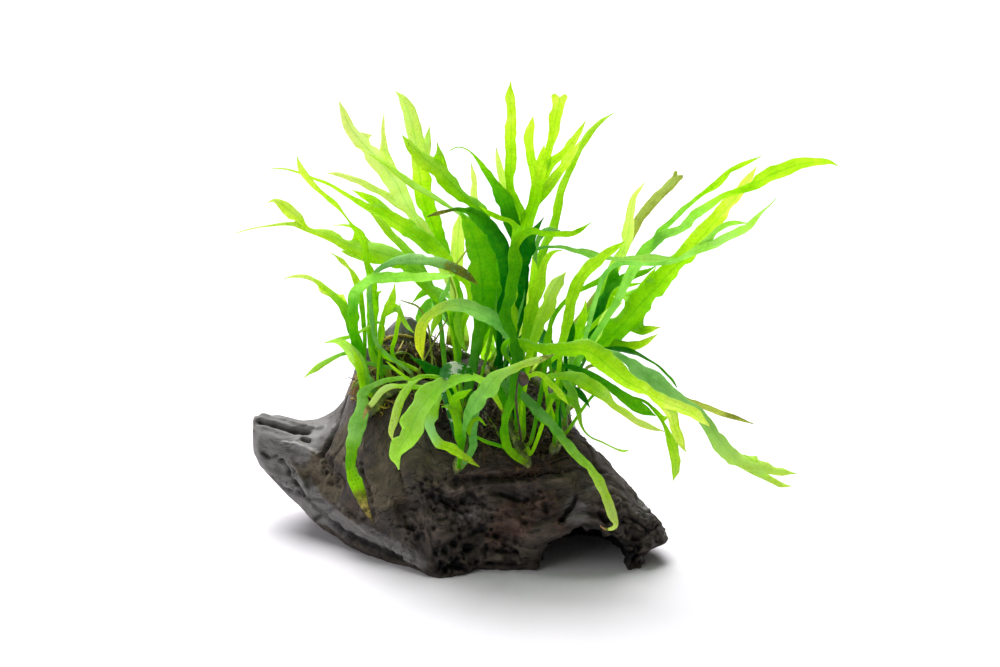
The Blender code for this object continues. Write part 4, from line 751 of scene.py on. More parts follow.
# Each frond: name; rhizome and how far along it the frond starts; how far away its middle and its tip
# are (millimetres along Y); how far the blade is turned about its length from facing the eye (degrees);
# tone; the blade as seen, base to tip, as (column, row, width in millimetres); and its lobes, each with
# how much farther away its tip is than its root, and its own blade from the root on.
FRONDS = [
    ("frond_back_left_broad", "rhizome_back", 0.04, (48, 72), 22, "pale",
     [(455, 300, 3.2), (437, 252, 4.6), (421, 226, 5.2), (410, 210, 6), (403, 197, 7), (396, 183, 7.8),
      (385, 168, 7.6), (374, 155, 7.2), (364, 145, 6.4), (354, 133, 5.2), (347, 122, 4.2), (343, 110, 3),
      (339, 101, 0.8)],
     [(8, [(385, 158, 3.6), (384, 146, 3.2), (383, 131, 1.8), (384, 112, 0.6)]),
      (-8, [(406, 204, 3), (396, 200, 3), (386, 195, 3), (374, 189, 3), (361, 182, 3), (348, 177, 2.4),
            (335, 174, 1.6), (326, 173, 0.7)])]),
    ("frond_back_tall_left", "rhizome_back", 0.16, (42, 58), -20, "lime",
     [(460, 300, 3), (444, 260, 6), (434, 228, 7), (427, 210, 7.4), (422, 190, 7.4), (419, 170, 7.4),
      (417, 150, 7), (414, 132, 6.6), (411, 120, 6.2), (407, 108, 5.4), (402, 98, 3.4), (395, 91, 0.8)],
     [(6, [(423, 160, 3), (426, 145, 2.6), (428, 134, 2.2), (430, 126, 0.8)])]),
    ("frond_left_leaning", "rhizome_back", 0.30, (32, 34), 25, "mid",
     [(500, 300, 3), (482, 212, 6), (470, 201, 5), (460, 192, 6), (448, 180, 6.8), (436, 168, 7),
      (424, 158, 6.4), (414, 148, 5.2), (407, 141, 3.4), (402, 135, 0.8)],
     [(5, [(441, 172, 3.4), (440, 160, 3), (439, 151, 2), (437, 142, 0.8)])]),
    ("frond_left_edge_on", "rhizome_left", 0.30, (16, 24), 66, "mid",
     [(495, 300, 1.6), (475, 225, 1.7), (450, 207, 1.6), (437, 198, 2), (425, 191, 2.2), (412, 183, 2.4),
      (400, 174, 2.2), (388, 165, 1.6), (378, 159, 1), (369, 154, 0.6)],
     []),
    ("frond_back_small_pale", "rhizome_back", 0.42, (44, 54), 15, "pale",
     [(478, 260, 2), (477, 215, 2.8), (474, 198, 3), (474, 180, 2.6), (471, 162, 0.8)],
     []),
    ("frond_dark_centre_left", "rhizome_centre", 0.80, (14, 10), -25, "deep",
     [(521, 310, 3), (521, 250, 5), (512, 224, 6), (507, 210, 6), (503, 200, 5.4), (497, 190, 4.4),
      (490, 180, 3.6), (484, 170, 2.6), (479, 161, 1.6), (471, 152, 0.6)],
     []),
    ("frond_tall_fork", "rhizome_centre", 0.98, (24, 30), 18, "lime",
     [(517, 300, 3), (522, 250, 4), (527, 222, 6), (533, 208, 4.6), (537, 196, 6), (539, 182, 5.4),
      (542, 170, 5.4), (547, 156, 3.6), (551, 144, 3.2), (554, 132, 4.4), (555, 122, 5), (557, 112, 5.8),
      (559, 103, 6.2), (560, 93, 6)],
     [(6, [(525, 222, 4), (520, 212, 4.4), (514, 200, 4.6), (511, 180, 4.4), (511, 160, 4.2), (511, 140, 4.8),
           (511, 115, 5.2), (510, 100, 4.4), (510, 90, 2.4), (511, 80, 0.6)]),
      (-7, [(537, 175, 4), (532, 162, 3.6), (530, 150, 3.6), (529, 140, 4), (530, 130, 4), (532, 122, 2.6),
            (533, 116, 0.8)]),
      (9, [(546, 168, 4), (552, 162, 3.8), (560, 156, 3.2), (568, 147, 3.2), (575, 139, 3), (581, 129, 2),
           (586, 120, 0.8)]),
      (-9, [(538, 200, 4.4), (545, 190, 4.2), (552, 182, 4.2), (560, 170, 4), (568, 160, 3.6), (574, 151, 3),
            (580, 141, 0.8)])]),
    ("frond_right_whip", "rhizome_right", 0.92, (34, 46), -24, "lime",
     [(535, 285, 3.6), (543, 250, 3.6), (551, 232, 3.8), (556, 218, 3.6), (558, 205, 3.4), (561, 190, 3.4),
      (567, 176, 3), (573, 162, 2.8), (580, 148, 2.8), (588, 135, 2.8), (596, 126, 2.2), (604, 119, 1.4),
      (614, 113, 0.6)],
     []),
    ("frond_centre_trident", "rhizome_centre", 0.03, (-32, -6), 12, "deep",
     [(518, 458, 3), (509, 449, 3.6), (505, 437, 4), (505, 423, 3.8), (509, 410, 4.2), (514, 398, 4.8),
      (518, 378, 5.2), (518, 355, 5), (512, 335, 4.6), (505, 312, 4.6), (510, 292, 4.8), (515, 270, 5),
      (515, 250, 4.8), (520, 237, 4), (532, 231, 2.6), (545, 234, 2), (560, 234, 2.4), (573, 233, 2.6),
      (582, 229, 1.8), (592, 222, 0.6)],
     [(-6, [(518, 240, 3), (512, 222, 1.8), (500, 218, 2), (488, 212, 1.8), (479, 206, 0.6)])]),
    ("frond_arch_left_dark", "rhizome_centre", 0.66, (-8, -22), 20, "deep",
     [(500, 318, 3), (506, 290, 5), (507, 268, 6), (502, 246, 6.4), (491, 229, 6), (479, 217, 5),
      (468, 211, 3.2), (457, 209, 1.6), (447, 211, 1.2), (438, 213, 1.6), (427, 217, 0.8)],
     []),
    ("frond_broad_mid", "rhizome_left", 0.38, (2, 6), -18, "mid",
     [(478, 335, 5), (483, 300, 9), (481, 272, 11.4), (476, 245, 9.6), (468, 225, 5.6), (460, 212, 1.6)],
     []),
    ("frond_left_grey_arch", "rhizome_left", 0.70, (-10, -20), -30, "teal",
     [(378, 345, 1.6), (371, 310, 1.8), (370, 285, 1.8), (376, 272, 2), (386, 265, 2.8), (397, 261, 3.8),
      (410, 259, 4.2), (425, 259, 4.4), (440, 262, 4.4), (453, 267, 4.2), (464, 273, 3.8), (472, 279, 2.6),
      (478, 285, 0.8)],
     []),
    ("frond_left_light_arch", "rhizome_left", 0.90, (-14, -28), 25, "lime",
     [(366, 385, 3.6), (358, 350, 4.2), (355, 325, 4.6), (354, 305, 5), (357, 292, 5), (364, 284, 3.6),
      (372, 279, 3.6), (382, 278, 4.2), (393, 278, 4.4), (406, 277, 4), (420, 277, 3.8), (432, 277, 3.2),
      (443, 276, 2.6), (455, 275, 0.8)],
     []),
    ("frond_left_whip", "rhizome_left", 0.80, (6, 12), -22, "lime",
     [(374, 360, 3), (372, 320, 4.4), (372, 292, 4.6), (370, 272, 3.4), (366, 258, 3.2), (364, 245, 3),
      (360, 234, 3.2), (353, 227, 1.8), (349, 221, 0.8), (343, 213, 0.9), (337, 206, 1.8), (330, 200, 2),
      (322, 193, 1.8), (315, 187, 2.2), (309, 180, 2.4), (303, 172, 2.8), (299, 164, 2), (297, 156, 0.7)],
     []),
    ("frond_far_left", "rhizome_left", 0.46, (8, 16), 20, "lime",
     [(455, 320, 3.4), (430, 288, 5), (405, 262, 7), (390, 256, 8), (374, 251, 8.6), (358, 248, 7),
      (345, 243, 5), (332, 236, 4.4), (320, 232, 4), (312, 230, 2.4), (305, 226, 1.8), (298, 218, 4.6),
      (289, 210, 4.8), (280, 203, 3.4), (273, 200, 1.8), (268, 203, 0.7)],
     [(-5, [(307, 227, 1.6), (295, 224, 1.4), (282, 224, 1.4), (268, 226, 0.8), (250, 229, 0.6),
            (236, 233, 0.5)]),
      (7, [(368, 240, 2.2), (357, 230, 1.6), (345, 225, 1.1), (332, 226, 0.6)])]),
    ("frond_left_long", "rhizome_back", 0.10, (40, 56), -26, "lime",
     [(470, 290, 3), (445, 262, 6), (425, 242, 7), (410, 231, 7), (396, 222, 6.4), (382, 214, 5),
      (368, 208, 3.6), (355, 201, 2.6), (343, 193, 1.8), (330, 185, 1.4), (315, 179, 1), (300, 173, 0.8),
      (285, 169, 0.7), (270, 168, 0.6)],
     [(7, [(384, 211, 3.4), (374, 202, 3.4), (364, 196, 2.6), (352, 190, 0.8)])]),
    ("frond_left_strip", "rhizome_left", 0.54, (20, 28), 30, "mid",
     [(436, 300, 2.4), (420, 265, 3), (408, 251, 3.4), (397, 240, 3.4), (386, 228, 3.2), (378, 219, 2.6),
      (369, 211, 1)],
     []),
    ("frond_left_small_twist", "rhizome_left", 0.96, (6, 10), 35, "mid",
     [(365, 345, 1.6), (362, 305, 2.2), (359, 287, 2.6), (356, 279, 2.6), (352, 272, 1.8), (349, 268, 0.9),
      (345, 264, 1.8), (341, 260, 2.2), (336, 256, 1), (331, 253, 0.6)],
     []),
    ("frond_left_arc", "rhizome_left", 0.86, (10, 16), 24, "mid",
     [(366, 375, 3), (357, 340, 4.4), (350, 322, 4.6), (344, 308, 4), (338, 300, 2.8), (331, 293, 2.4),
      (324, 287, 2.2), (316, 281, 2.2), (307, 277, 1.8), (297, 276, 1.4), (290, 277, 1), (284, 279, 0.7)],
     []),
    ("frond_left_fold", "rhizome_left", 0.98, (-8, -12), -15, "pale",
     [(366, 385, 3), (361, 368, 4.8), (353, 354, 5), (345, 345, 3.6), (335, 341, 2), (324, 343, 0.8)],
     []),
    ("frond_left_droop", "rhizome_left", 0.76, (2, -8), 20, "mid",
     [(364, 362, 1.6), (350, 353, 1.6), (335, 357, 1.6), (320, 366, 2.8), (311, 372, 1.8), (304, 378, 0.8)],
     []),
    ("frond_left_fork", "rhizome_left", 0.66, (0, -4), -28, "mid",
     [(378, 352, 2), (379, 338, 2.2), (382, 322, 2.4), (386, 308, 3), (392, 299, 3), (394, 291, 1.8),
      (395, 283, 0.8)],
     [(-5, [(391, 303, 2), (398, 309, 2), (403, 319, 1.8), (408, 327, 1.8), (414, 333, 0.9)])]),
    ("frond_front_arch_teal", "rhizome_centre", 0.56, (-20, -30), -20, "teal",
     [(516, 350, 3.6), (511, 338, 4.4), (503, 328, 5.4), (493, 320, 6.2), (481, 313, 6.4), (468, 308, 5.4),
      (455, 305, 4.4), (443, 308, 4), (433, 313, 3.6), (425, 321, 3.6), (421, 331, 4.2), (420, 342, 4),
      (421, 352, 3.2), (423, 361, 1)],
     []),
    ("frond_yellow_droop", "rhizome_left", 0.58, (-22, -30), 35, "lime",
     [(438, 388, 1.6), (420, 387, 1.8), (404, 386, 2), (392, 386, 2.2), (384, 389, 2.6), (378, 395, 2.6),
      (372, 403, 2.2), (366, 411, 1.8), (363, 420, 0.8)],
     []),
    ("frond_spotted_droop", "rhizome_left", 0.50, (-28, -38), 22, "lime",
     [(440, 378, 1.4), (428, 376, 1.4), (418, 378, 2), (411, 383, 3), (405, 391, 3.6), (400, 401, 3.6),
      (396, 412, 3.4), (393, 424, 3), (391, 434, 2.2), (394, 442, 0.7)],
     []),
    ("frond_big_front_droop", "rhizome_centre", 0.46, (-36, -48), -24, "lime",
     [(478, 378, 3.4), (458, 380, 4.4), (443, 386, 6), (431, 395, 7.6), (422, 406, 7.8), (415, 418, 8),
      (411, 429, 8.4), (406, 439, 8.2), (399, 448, 7), (396, 457, 4.4), (398, 464, 3), (399, 470, 1)],
     []),
    ("frond_front_under_fold", "rhizome_left", 0.24, (-34, -40), 20, "lime",
     [(445, 390, 2.6), (435, 402, 4.2), (432, 414, 5), (430, 425, 4.2), (432, 434, 3.2), (438, 443, 4),
      (446, 447, 4.4), (455, 450, 4.2), (464, 456, 3.4), (472, 462, 2.2), (480, 467, 0.7)],
     []),
    ("frond_front_fold", "rhizome_left", 0.08, (-42, -36), -20, "mid",
     [(463, 440, 2), (465, 425, 2.6), (469, 412, 4.4), (477, 400, 7), (487, 389, 7.4), (494, 379, 6),
      (503, 373, 3.6), (515, 368, 3.4), (527, 363, 3), (540, 359, 2.6), (555, 354, 0.9)],
     []),
    ("frond_front_small", "rhizome_left", 0.03, (-37, -40), 25, "mid",
     [(460, 452, 2), (459, 438, 3), (458, 425, 3.4), (455, 414, 3.2), (449, 406, 2.6), (441, 407, 0.9)],
     [(-3, [(453, 410, 3), (455, 400, 3.6), (463, 394, 3.4), (472, 389, 1)])]),
    ("frond_long_front_drape", "rhizome_centre", 0.40, (-38, -54), -22, "mid",
     [(498, 382, 3.4), (508, 386, 4), (520, 394, 4.2), (533, 405, 4.2), (545, 418, 4.2), (556, 430, 3.8),
      (567, 443, 3.8), (578, 456, 3.6), (590, 468, 3.4), (599, 481, 3.4), (605, 494, 3.4), (610, 507, 3.6),
      (614, 518, 3.4), (616, 523, 2)],
     []),
    ("frond_thin_stem", "rhizome_centre", 0.12, (-20, -12), 26, "lime",
     [(530, 455, 1.4), (536, 443, 1.5), (543, 423, 1.5), (550, 405, 1.5), (556, 390, 1.6), (559, 368, 1.8),
      (562, 345, 2.6), (567, 325, 4), (571, 303, 4.8), (577, 285, 5), (587, 270, 4.8), (600, 259, 4),
      (612, 250, 3), (625, 241, 0.8)],
     []),
    ("frond_right_arch_big", "rhizome_centre", 0.30, (-38, -46), 24, "lime",
     [(511, 362, 1.6), (503, 351, 2), (508, 341, 2.2), (522, 342, 2.4), (535, 347, 3.4), (547, 350, 4.4),
      (562, 350, 5.4), (577, 349, 6.6), (590, 352, 8), (602, 360, 8.6), (613, 370, 8), (626, 381, 6.2),
      (640, 388, 5.2), (655, 397, 4.6), (670, 404, 4.4), (683, 409, 4.2), (695, 415, 4), (703, 421, 2.2),
      (711, 427, 0.8)],
     [(-6, [(669, 406, 3), (673, 418, 3.6), (675, 428, 3.8), (679, 438, 3.6), (683, 447, 2.4),
            (686, 452, 1)])]),
    ("frond_right_second", "rhizome_right", 0.12, (-28, -38), -20, "lime",
     [(545, 380, 2), (565, 375, 3), (580, 379, 5), (593, 387, 5.4), (604, 395, 4.6), (614, 404, 3),
      (627, 414, 2.6), (640, 422, 2.6), (653, 428, 2), (666, 432, 0.7)],
     [(5, [(588, 384, 2.6), (599, 394, 2.4), (610, 402, 0.9)])]),
    ("frond_right_dark_under", "rhizome_right", 0.26, (-14, -18), 30, "deep",
     [(560, 368, 2), (585, 372, 2.6), (600, 380, 2.6), (612, 388, 3), (622, 396, 4), (633, 404, 5.2),
      (643, 410, 4.4), (656, 416, 1.2)],
     []),
    ("frond_right_long", "rhizome_right", 0.36, (-18, -26), -26, "teal",
     [(575, 350, 2), (600, 351, 2.4), (615, 354, 3), (627, 359, 3.4), (638, 368, 6), (649, 376, 8),
      (661, 385, 7), (672, 394, 5.4), (684, 402, 4.6), (696, 410, 4.4), (706, 421, 5), (715, 434, 6.2),
      (725, 447, 7), (737, 459, 7), (750, 464, 5), (765, 467, 4.8), (780, 471, 3.4), (797, 474, 0.8)],
     [(-5, [(752, 467, 3.4), (762, 474, 2.8), (772, 480, 2.6), (782, 485, 2.4), (791, 486, 1.4)])]),
    ("frond_right_olive_thin", "rhizome_right", 0.44, (4, 0), 40, "olive",
     [(590, 366, 1.4), (640, 380, 1.4), (672, 392, 1.6), (690, 401, 2), (705, 407, 2), (718, 412, 2.2),
      (730, 416, 1.8), (742, 420, 1.2), (754, 424, 0.6)],
     []),
    ("frond_right_edge_on", "rhizome_right", 0.52, (5, 2), 66, "deep",
     [(590, 352, 1.2), (610, 349, 1.6), (625, 351, 2), (637, 354, 1.6), (648, 360, 0.8), (658, 366, 0.8),
      (666, 374, 0.8), (672, 380, 0.8), (677, 388, 0.6)],
     []),
    ("frond_right_hanging", "rhizome_right", 0.18, (-14, -30), 20, "mid",
     [(600, 390, 1.2), (625, 396, 1.2), (646, 402, 1.2), (656, 413, 1.2), (664, 424, 1.4), (668, 434, 2.6),
      (672, 445, 4.2), (675, 456, 4.2), (676, 465, 4), (675, 473, 3.2), (673, 481, 1)],
     []),
    ("frond_right_thread", "rhizome_right", 0.04, (-26, -42), -30, "lime",
     [(562, 376, 2), (567, 382, 3.6), (573, 391, 3.6), (577, 402, 2.8), (579, 413, 2), (581, 424, 1.2),
      (585, 432, 0.7), (592, 438, 0.6), (602, 442, 0.6), (612, 447, 0.6), (619, 450, 0.9), (624, 451, 1.6),
      (629, 450, 0.7)],
     []),
    ("frond_big_lime", "rhizome_right", 0.66, (12, 20), 20, "lime",
     [(590, 350, 3.2), (604, 342, 7), (618, 329, 10), (633, 312, 10), (654, 290, 8.8), (667, 275, 8),
      (680, 262, 7.6), (692, 248, 7.2), (705, 233, 7), (717, 219, 6.6), (730, 204, 6), (741, 190, 5),
      (750, 177, 3.2), (757, 166, 0.9)],
     [(-6, [(630, 322, 5), (641, 330, 4), (650, 329, 2.8), (661, 327, 0.8)]),
      (-6, [(606, 345, 4.6), (628, 346, 4.2), (640, 345, 3.4), (650, 339, 2.2), (658, 334, 0.8)]),
      (6, [(640, 298, 2.6), (628, 296, 2.2), (613, 297, 0.9)])]),
    ("frond_right_deep", "rhizome_right", 0.76, (26, 32), -20, "deep",
     [(590, 345, 3), (591, 326, 4.4), (598, 309, 5.4), (608, 294, 5.6), (619, 282, 5), (633, 275, 3.4),
      (647, 271, 2), (656, 266, 0.8)],
     [(5, [(609, 284, 3), (614, 272, 3.2), (620, 262, 1)])]),
    ("frond_right_pale_up", "rhizome_right", 0.84, (38, 48), 24, "pale",
     [(600, 300, 3.6), (611, 275, 4.6), (621, 255, 5), (627, 238, 5.6), (629, 225, 5), (631, 212, 3.4),
      (633, 200, 2.8), (639, 190, 1.8), (645, 182, 0.7)],
     []),
    ("frond_right_brown_up", "rhizome_back", 0.86, (46, 56), -28, "olive",
     [(612, 270, 3), (628, 240, 3.4), (639, 219, 3.6), (647, 209, 3.8), (655, 200, 4), (664, 190, 3.8),
      (673, 181, 4), (680, 172, 4.6)],
     []),
    ("frond_right_long_fork", "rhizome_right", 0.60, (0, -10), 22, "lime",
     [(615, 305, 3), (632, 272, 4.4), (645, 252, 4.6), (654, 243, 4.4), (664, 235, 4), (676, 231, 3.2),
      (687, 224, 4), (697, 214, 4), (710, 205, 3.2), (722, 197, 2.6), (735, 192, 2.4), (748, 188, 3.4),
      (758, 182, 5), (770, 175, 5.6), (785, 169, 5.4), (800, 164, 4.6), (815, 162, 3.2), (830, 162, 2.2),
      (838, 166, 0.8)],
     [(9, [(652, 248, 3), (660, 232, 2.8), (672, 221, 2.2), (685, 208, 2.2), (698, 197, 1.6),
           (710, 189, 2.4), (720, 181, 3), (730, 171, 2.2), (742, 165, 2), (762, 156, 0.6)])]),
    ("frond_right_lower", "rhizome_right", 0.48, (-8, -16), 28, "mid",
     [(600, 285, 2), (610, 268, 2.2), (625, 262, 2.8), (642, 263, 2.6), (660, 263, 2.2), (678, 260, 2.2),
      (692, 253, 2.8), (704, 247, 3.6), (716, 244, 3.6), (728, 237, 3.4), (740, 231, 3.6), (750, 225, 3),
      (757, 217, 1.8), (764, 210, 0.8), (770, 205, 0.6), (776, 198, 0.6)],
     [(5, [(706, 244, 1.8), (714, 233, 2), (724, 226, 2.4), (735, 223, 2), (748, 223, 0.8)])]),
    ("frond_teal_reach", "rhizome_centre", 0.74, (-4, -12), 42, "teal",
     [(522, 300, 1.4), (523, 275, 1.4), (529, 254, 1.2), (540, 248, 1.2), (552, 247, 1.2), (563, 247, 1.8),
      (575, 251, 2.6), (588, 254, 3), (602, 258, 3), (616, 259, 2.4), (632, 259, 2.6), (648, 259, 3.2),
      (662, 259, 3), (673, 257, 0.9)],
     []),
    ("frond_centre_pale", "rhizome_centre", 0.36, (-14, -6), -24, "lime",
     [(530, 350, 3), (538, 326, 4.8), (545, 310, 6.4), (549, 298, 7), (554, 288, 6.6), (560, 279, 4),
      (566, 272, 1)],
     []),
    ("frond_centre_v", "rhizome_centre", 0.22, (-18, -14), 20, "mid",
     [(522, 360, 3.2), (526, 335, 4), (531, 312, 5), (536, 295, 6), (541, 280, 4), (543, 268, 3.2),
      (547, 258, 2.6), (553, 252, 1.6), (563, 250, 0.7)],
     [(-4, [(537, 290, 3), (535, 278, 2.8), (534, 267, 2.4), (532, 256, 0.8)])]),
    ("frond_hanging_on_wood", "rhizome_left", 0.72, (-28, -34), 18, "mid",
     [(388, 380, 2), (372, 386, 2.6), (362, 394, 4), (361, 403, 6.6), (359, 415, 7), (356, 431, 6.6),
      (352, 447, 5.4), (351, 461, 4.8), (354, 475, 6), (358, 488, 5.6), (362, 499, 4.4), (366, 510, 2.6),
      (375, 524, 0.8)],
     []),
]
# The fronds behind the plant, which the picture doesn't show: name; rhizome and how far along it; turn;
# tone; and the blade as (x, y, z, width) in millimetres.
BACK_FRONDS = [
    ("frond_rear_left", "rhizome_back", 0.24, 20, "mid",
     [(-6, 42, 82, 3.4), (-13, 57, 84, 6), (-20, 69, 68, 6.4), (-25, 77, 44, 5), (-27, 80, 22, 1.2)]),
    ("frond_rear_centre", "rhizome_back", 0.50, -20, "lime",
     [(8, 48, 78, 3.4), (10, 63, 78, 6.6), (11, 76, 58, 7), (9, 83, 34, 5), (6, 85, 14, 1.2)]),
    ("frond_rear_right", "rhizome_back", 0.72, 24, "deep",
     [(24, 47, 72, 3.2), (32, 60, 70, 6), (40, 71, 52, 6.2), (45, 77, 30, 4), (47, 79, 12, 1.1)]),
    ("frond_rear_reach", "rhizome_back", 0.60, -26, "mid",
     [(15, 48, 84, 3.4), (14, 60, 96, 5.4), (9, 73, 100, 5.6), (2, 86, 88, 1.2)]),
]
# Teeth, twigs and slips on the edges of some fronds, too small for the solids, drawn as their lobes are.
SLIPS = {
    "frond_back_left_broad": [(6, [(361, 140, 2.2), (366, 137, 1.8), (372, 135, 0.6)])],
    "frond_tall_fork": [(-2, [(542, 162, 2.4), (543, 154, 1.8), (544, 145, 0.6)])],
    "frond_far_left": [(-3, [(357, 252, 3), (349, 252, 2.4), (341, 251, 0.8)])],
    "frond_left_whip": [(0, [(368, 298, 1.6), (375, 295, 1.2), (382, 291, 0.6)])],
    "frond_big_lime": [(4, [(649, 284, 1.4), (652, 275, 1.2), (656, 267, 0.6)])],
    "frond_right_long": [(2, [(750, 464, 3), (754, 460, 1.6), (757, 456, 0.6)])],
    "frond_right_hanging": [(-3, [(656, 414, 0.8), (662, 418, 0.7), (667, 417, 0.6), (672, 412, 0.5)])],
    "frond_left_arc": [(0, [(328, 290, 1.2), (322, 291, 0.8), (319, 292, 0.5)]),
                       (0, [(340, 303, 1.4), (342, 298, 1), (343, 294, 0.6)])],
}
# Thin ends that two fronds run out into.
RUN_OUTS = {
    "frond_dark_centre_left": [(464, 148, 0.5), (457, 147, 0.4), (449, 151, 0.4)],
    "frond_long_front_drape": [(616, 526, 1.8), (611, 529, 1.5), (604, 529, 1.2), (600, 525, 0.8)],
}
# Age of the leaves: for a frond, how far its tone is lighter or darker at the foot and at the tip,
# from where on it is browned and how much, and how many dark spots it has (0 to 1).
AGES = {
    "frond_back_left_broad": (0.06, 0.12, 0.99, 0.0, 0.0),
    "frond_back_tall_left": (-0.10, 0.40, 0.97, 0.1, 0.25),
    "frond_left_leaning": (-0.05, 0.30, 0.96, 0.1, 0.35),
    "frond_left_edge_on": (0.10, 0.32, 0.99, 0.0, 0.1),
    "frond_dark_centre_left": (0.05, 0.50, 0.98, 0.1, 0.0),
    "frond_tall_fork": (-0.10, 0.22, 0.99, 0.0, 0.1),
    "frond_right_whip": (-0.05, 0.15, 0.99, 0.0, 0.05),
    "frond_centre_trident": (0.42, 0.55, 0.97, 0.1, 0.05),
    "frond_arch_left_dark": (-0.05, 0.28, 0.84, 0.45, 0.1),
    "frond_broad_mid": (-0.22, 0.05, 0.98, 0.0, 0.05),
    "frond_left_grey_arch": (0.15, 0.20, 0.76, 0.42, 0.4),
    "frond_left_light_arch": (-0.42, 0.02, 0.97, 0.1, 0.05),
    "frond_left_whip": (-0.10, 0.22, 0.99, 0.0, 0.05),
    "frond_far_left": (-0.15, 0.26, 0.99, 0.0, 0.1),
    "frond_left_long": (0.06, 0.18, 0.99, 0.0, 0.05),
    "frond_left_strip": (0.05, 0.28, 0.99, 0.1, 0.1),
    "frond_left_small_twist": (0.05, 0.44, 0.98, 0.2, 0.1),
    "frond_left_arc": (-0.05, 0.52, 0.96, 0.25, 0.15),
    "frond_left_fold": (-0.75, -0.06, 0.99, 0.0, 0.0),
    "frond_left_droop": (0.0, 0.30, 0.97, 0.2, 0.1),
    "frond_left_fork": (0.34, 0.26, 0.97, 0.1, 0.1),
    "frond_front_arch_teal": (0.0, 0.55, 0.98, 0.0, 0.25),
    "frond_yellow_droop": (0.10, 0.60, 0.83, 0.75, 0.1),
    "frond_spotted_droop": (0.27, 0.34, 0.90, 0.15, 0.35),
    "frond_big_front_droop": (0.18, 0.14, 0.99, 0.0, 0.05),
    "frond_front_under_fold": (0.0, 0.10, 0.80, 0.30, 0.15),
    "frond_front_fold": (0.0, 0.44, 0.84, 0.30, 0.05),
    "frond_front_small": (-0.10, 0.13, 0.99, 0.0, 0.05),
    "frond_long_front_drape": (-0.22, 0.52, 0.95, 0.9, 0.1),
    "frond_right_arch_big": (-0.30, 0.26, 0.98, 0.3, 0.05),
    "frond_right_second": (0.04, 0.34, 0.98, 0.1, 0.05),
    "frond_right_dark_under": (0.28, 0.34, 0.99, 0.0, 0.0),
    "frond_right_long": (0.18, 0.50, 0.98, 0.05, 0.1),
    "frond_right_olive_thin": (0.1, 0.35, 0.75, 0.3, 0.1),
    "frond_right_edge_on": (0.2, 0.3, 0.99, 0.0, 0.0),
    "frond_right_hanging": (0.0, 0.30, 0.98, 0.2, 0.15),
    "frond_right_thread": (-0.34, 0.12, 0.99, 0.2, 0.0),
    "frond_big_lime": (-0.16, 0.30, 0.99, 0.05, 0.1),
    "frond_right_deep": (0.05, 0.38, 0.99, 0.0, 0.0),
    "frond_right_pale_up": (-0.85, 0.06, 0.99, 0.0, 0.0),
    "frond_right_brown_up": (0.30, 0.50, 0.20, 0.21, 0.3),
    "frond_right_long_fork": (-0.15, 0.12, 0.99, 0.0, 0.05),
    "frond_right_lower": (0.05, 0.30, 0.96, 0.2, 0.15),
    "frond_teal_reach": (0.0, 0.25, 0.99, 0.0, 0.0),
    "frond_centre_pale": (0.04, 0.24, 0.99, 0.0, 0.0),
    "frond_centre_v": (0.12, 0.26, 0.99, 0.0, 0.0),
    "frond_hanging_on_wood": (0.25, 0.10, 0.74, 0.62, 0.45),
}
BLUNT = ("frond_right_brown_up", "frond_tall_fork")  # cut off square, with a notch
# Fronds with a painted sheen, a pale tint standing in for reflected light, also on faces that don't look up:
# from where to where along them, and how much.
PAINTED_SHEEN_SPANS = {
    "frond_hanging_on_wood": (-0.1, 0.64, 1.5), "frond_big_front_droop": (0.1, 1.1, 1.3),
    "frond_front_fold": (0.15, 0.85, 1.0), "frond_left_light_arch": (0.42, 1.1, 1.1),
    "frond_right_long": (0.30, 1.1, 1.5), "frond_long_front_drape": (0.50, 1.0, 0.7),
    "frond_front_under_fold": (0.50, 0.76, 2.7), "frond_front_arch_teal": (0.1, 0.8, 0.4),
    "frond_yellow_droop": (0.5, 1.1, 0.7), "frond_centre_pale": (0.5, 1.1, 0.4),
    "frond_right_long_fork": (0.05, 0.72, 1.3), "frond_right_lower": (0.1, 1.1, 1.4),
    "frond_back_tall_left": (0.68, 1.2, 1.2), "frond_small_shiny_curl": (-0.2, 1.2, 0.9),
}
TONE_LEVEL = {"lime": 0.70, "mid": 0.54, "deep": 0.22, "pale": 0.88, "teal": 0.42, "olive": 0.4}


def seat_of(line, part, towards):
    """Where a frond starts on a rhizome, and a point a little way out from it."""
    at = part * (len(line) - 1)
    i = min(int(at), len(line) - 2)
    point = line[i][0].lerp(line[i + 1][0], at - i)
    normal = line[i][1]
    along = (line[i + 1][0] - line[i][0]).normalized()
    out = towards - point
    out -= along * out.dot(along)
    out.normalize()
    out = (out + normal * (1.2 if out.dot(normal) < 0.2 else 0.5)).normalized()
    start = point + out * (1.2 * RHIZOME_RADIUS + SEAT_GAP)
    return start, start + out * FOOT


def seen_points(seat, away, drawn):
    """Points of a drawn blade in space, from the seat's distance to the middle's and the tip's."""
    base_away = seat.y / MM
    middle_away, tip_away = away
    pixels = [in_picture(seat)] + [(col, row) for col, row, _ in drawn]
    walked = [0.0]
    for a, b in zip(pixels, pixels[1:]):
        walked.append(walked[-1] + math.dist(a, b))
    found = []
    for (col, row, width), at in zip(drawn, walked[1:]):
        f = at / walked[-1]
        depth = (base_away * (2 * f - 1) * (f - 1) + middle_away * 4 * f * (1 - f)
                 + tip_away * f * (2 * f - 1))
        found.append((sketch_point(col, row, depth), width * MM))
    return found


def real_width(seen, turn):
    return seen / max(math.cos(turn), MOST_TURNED)


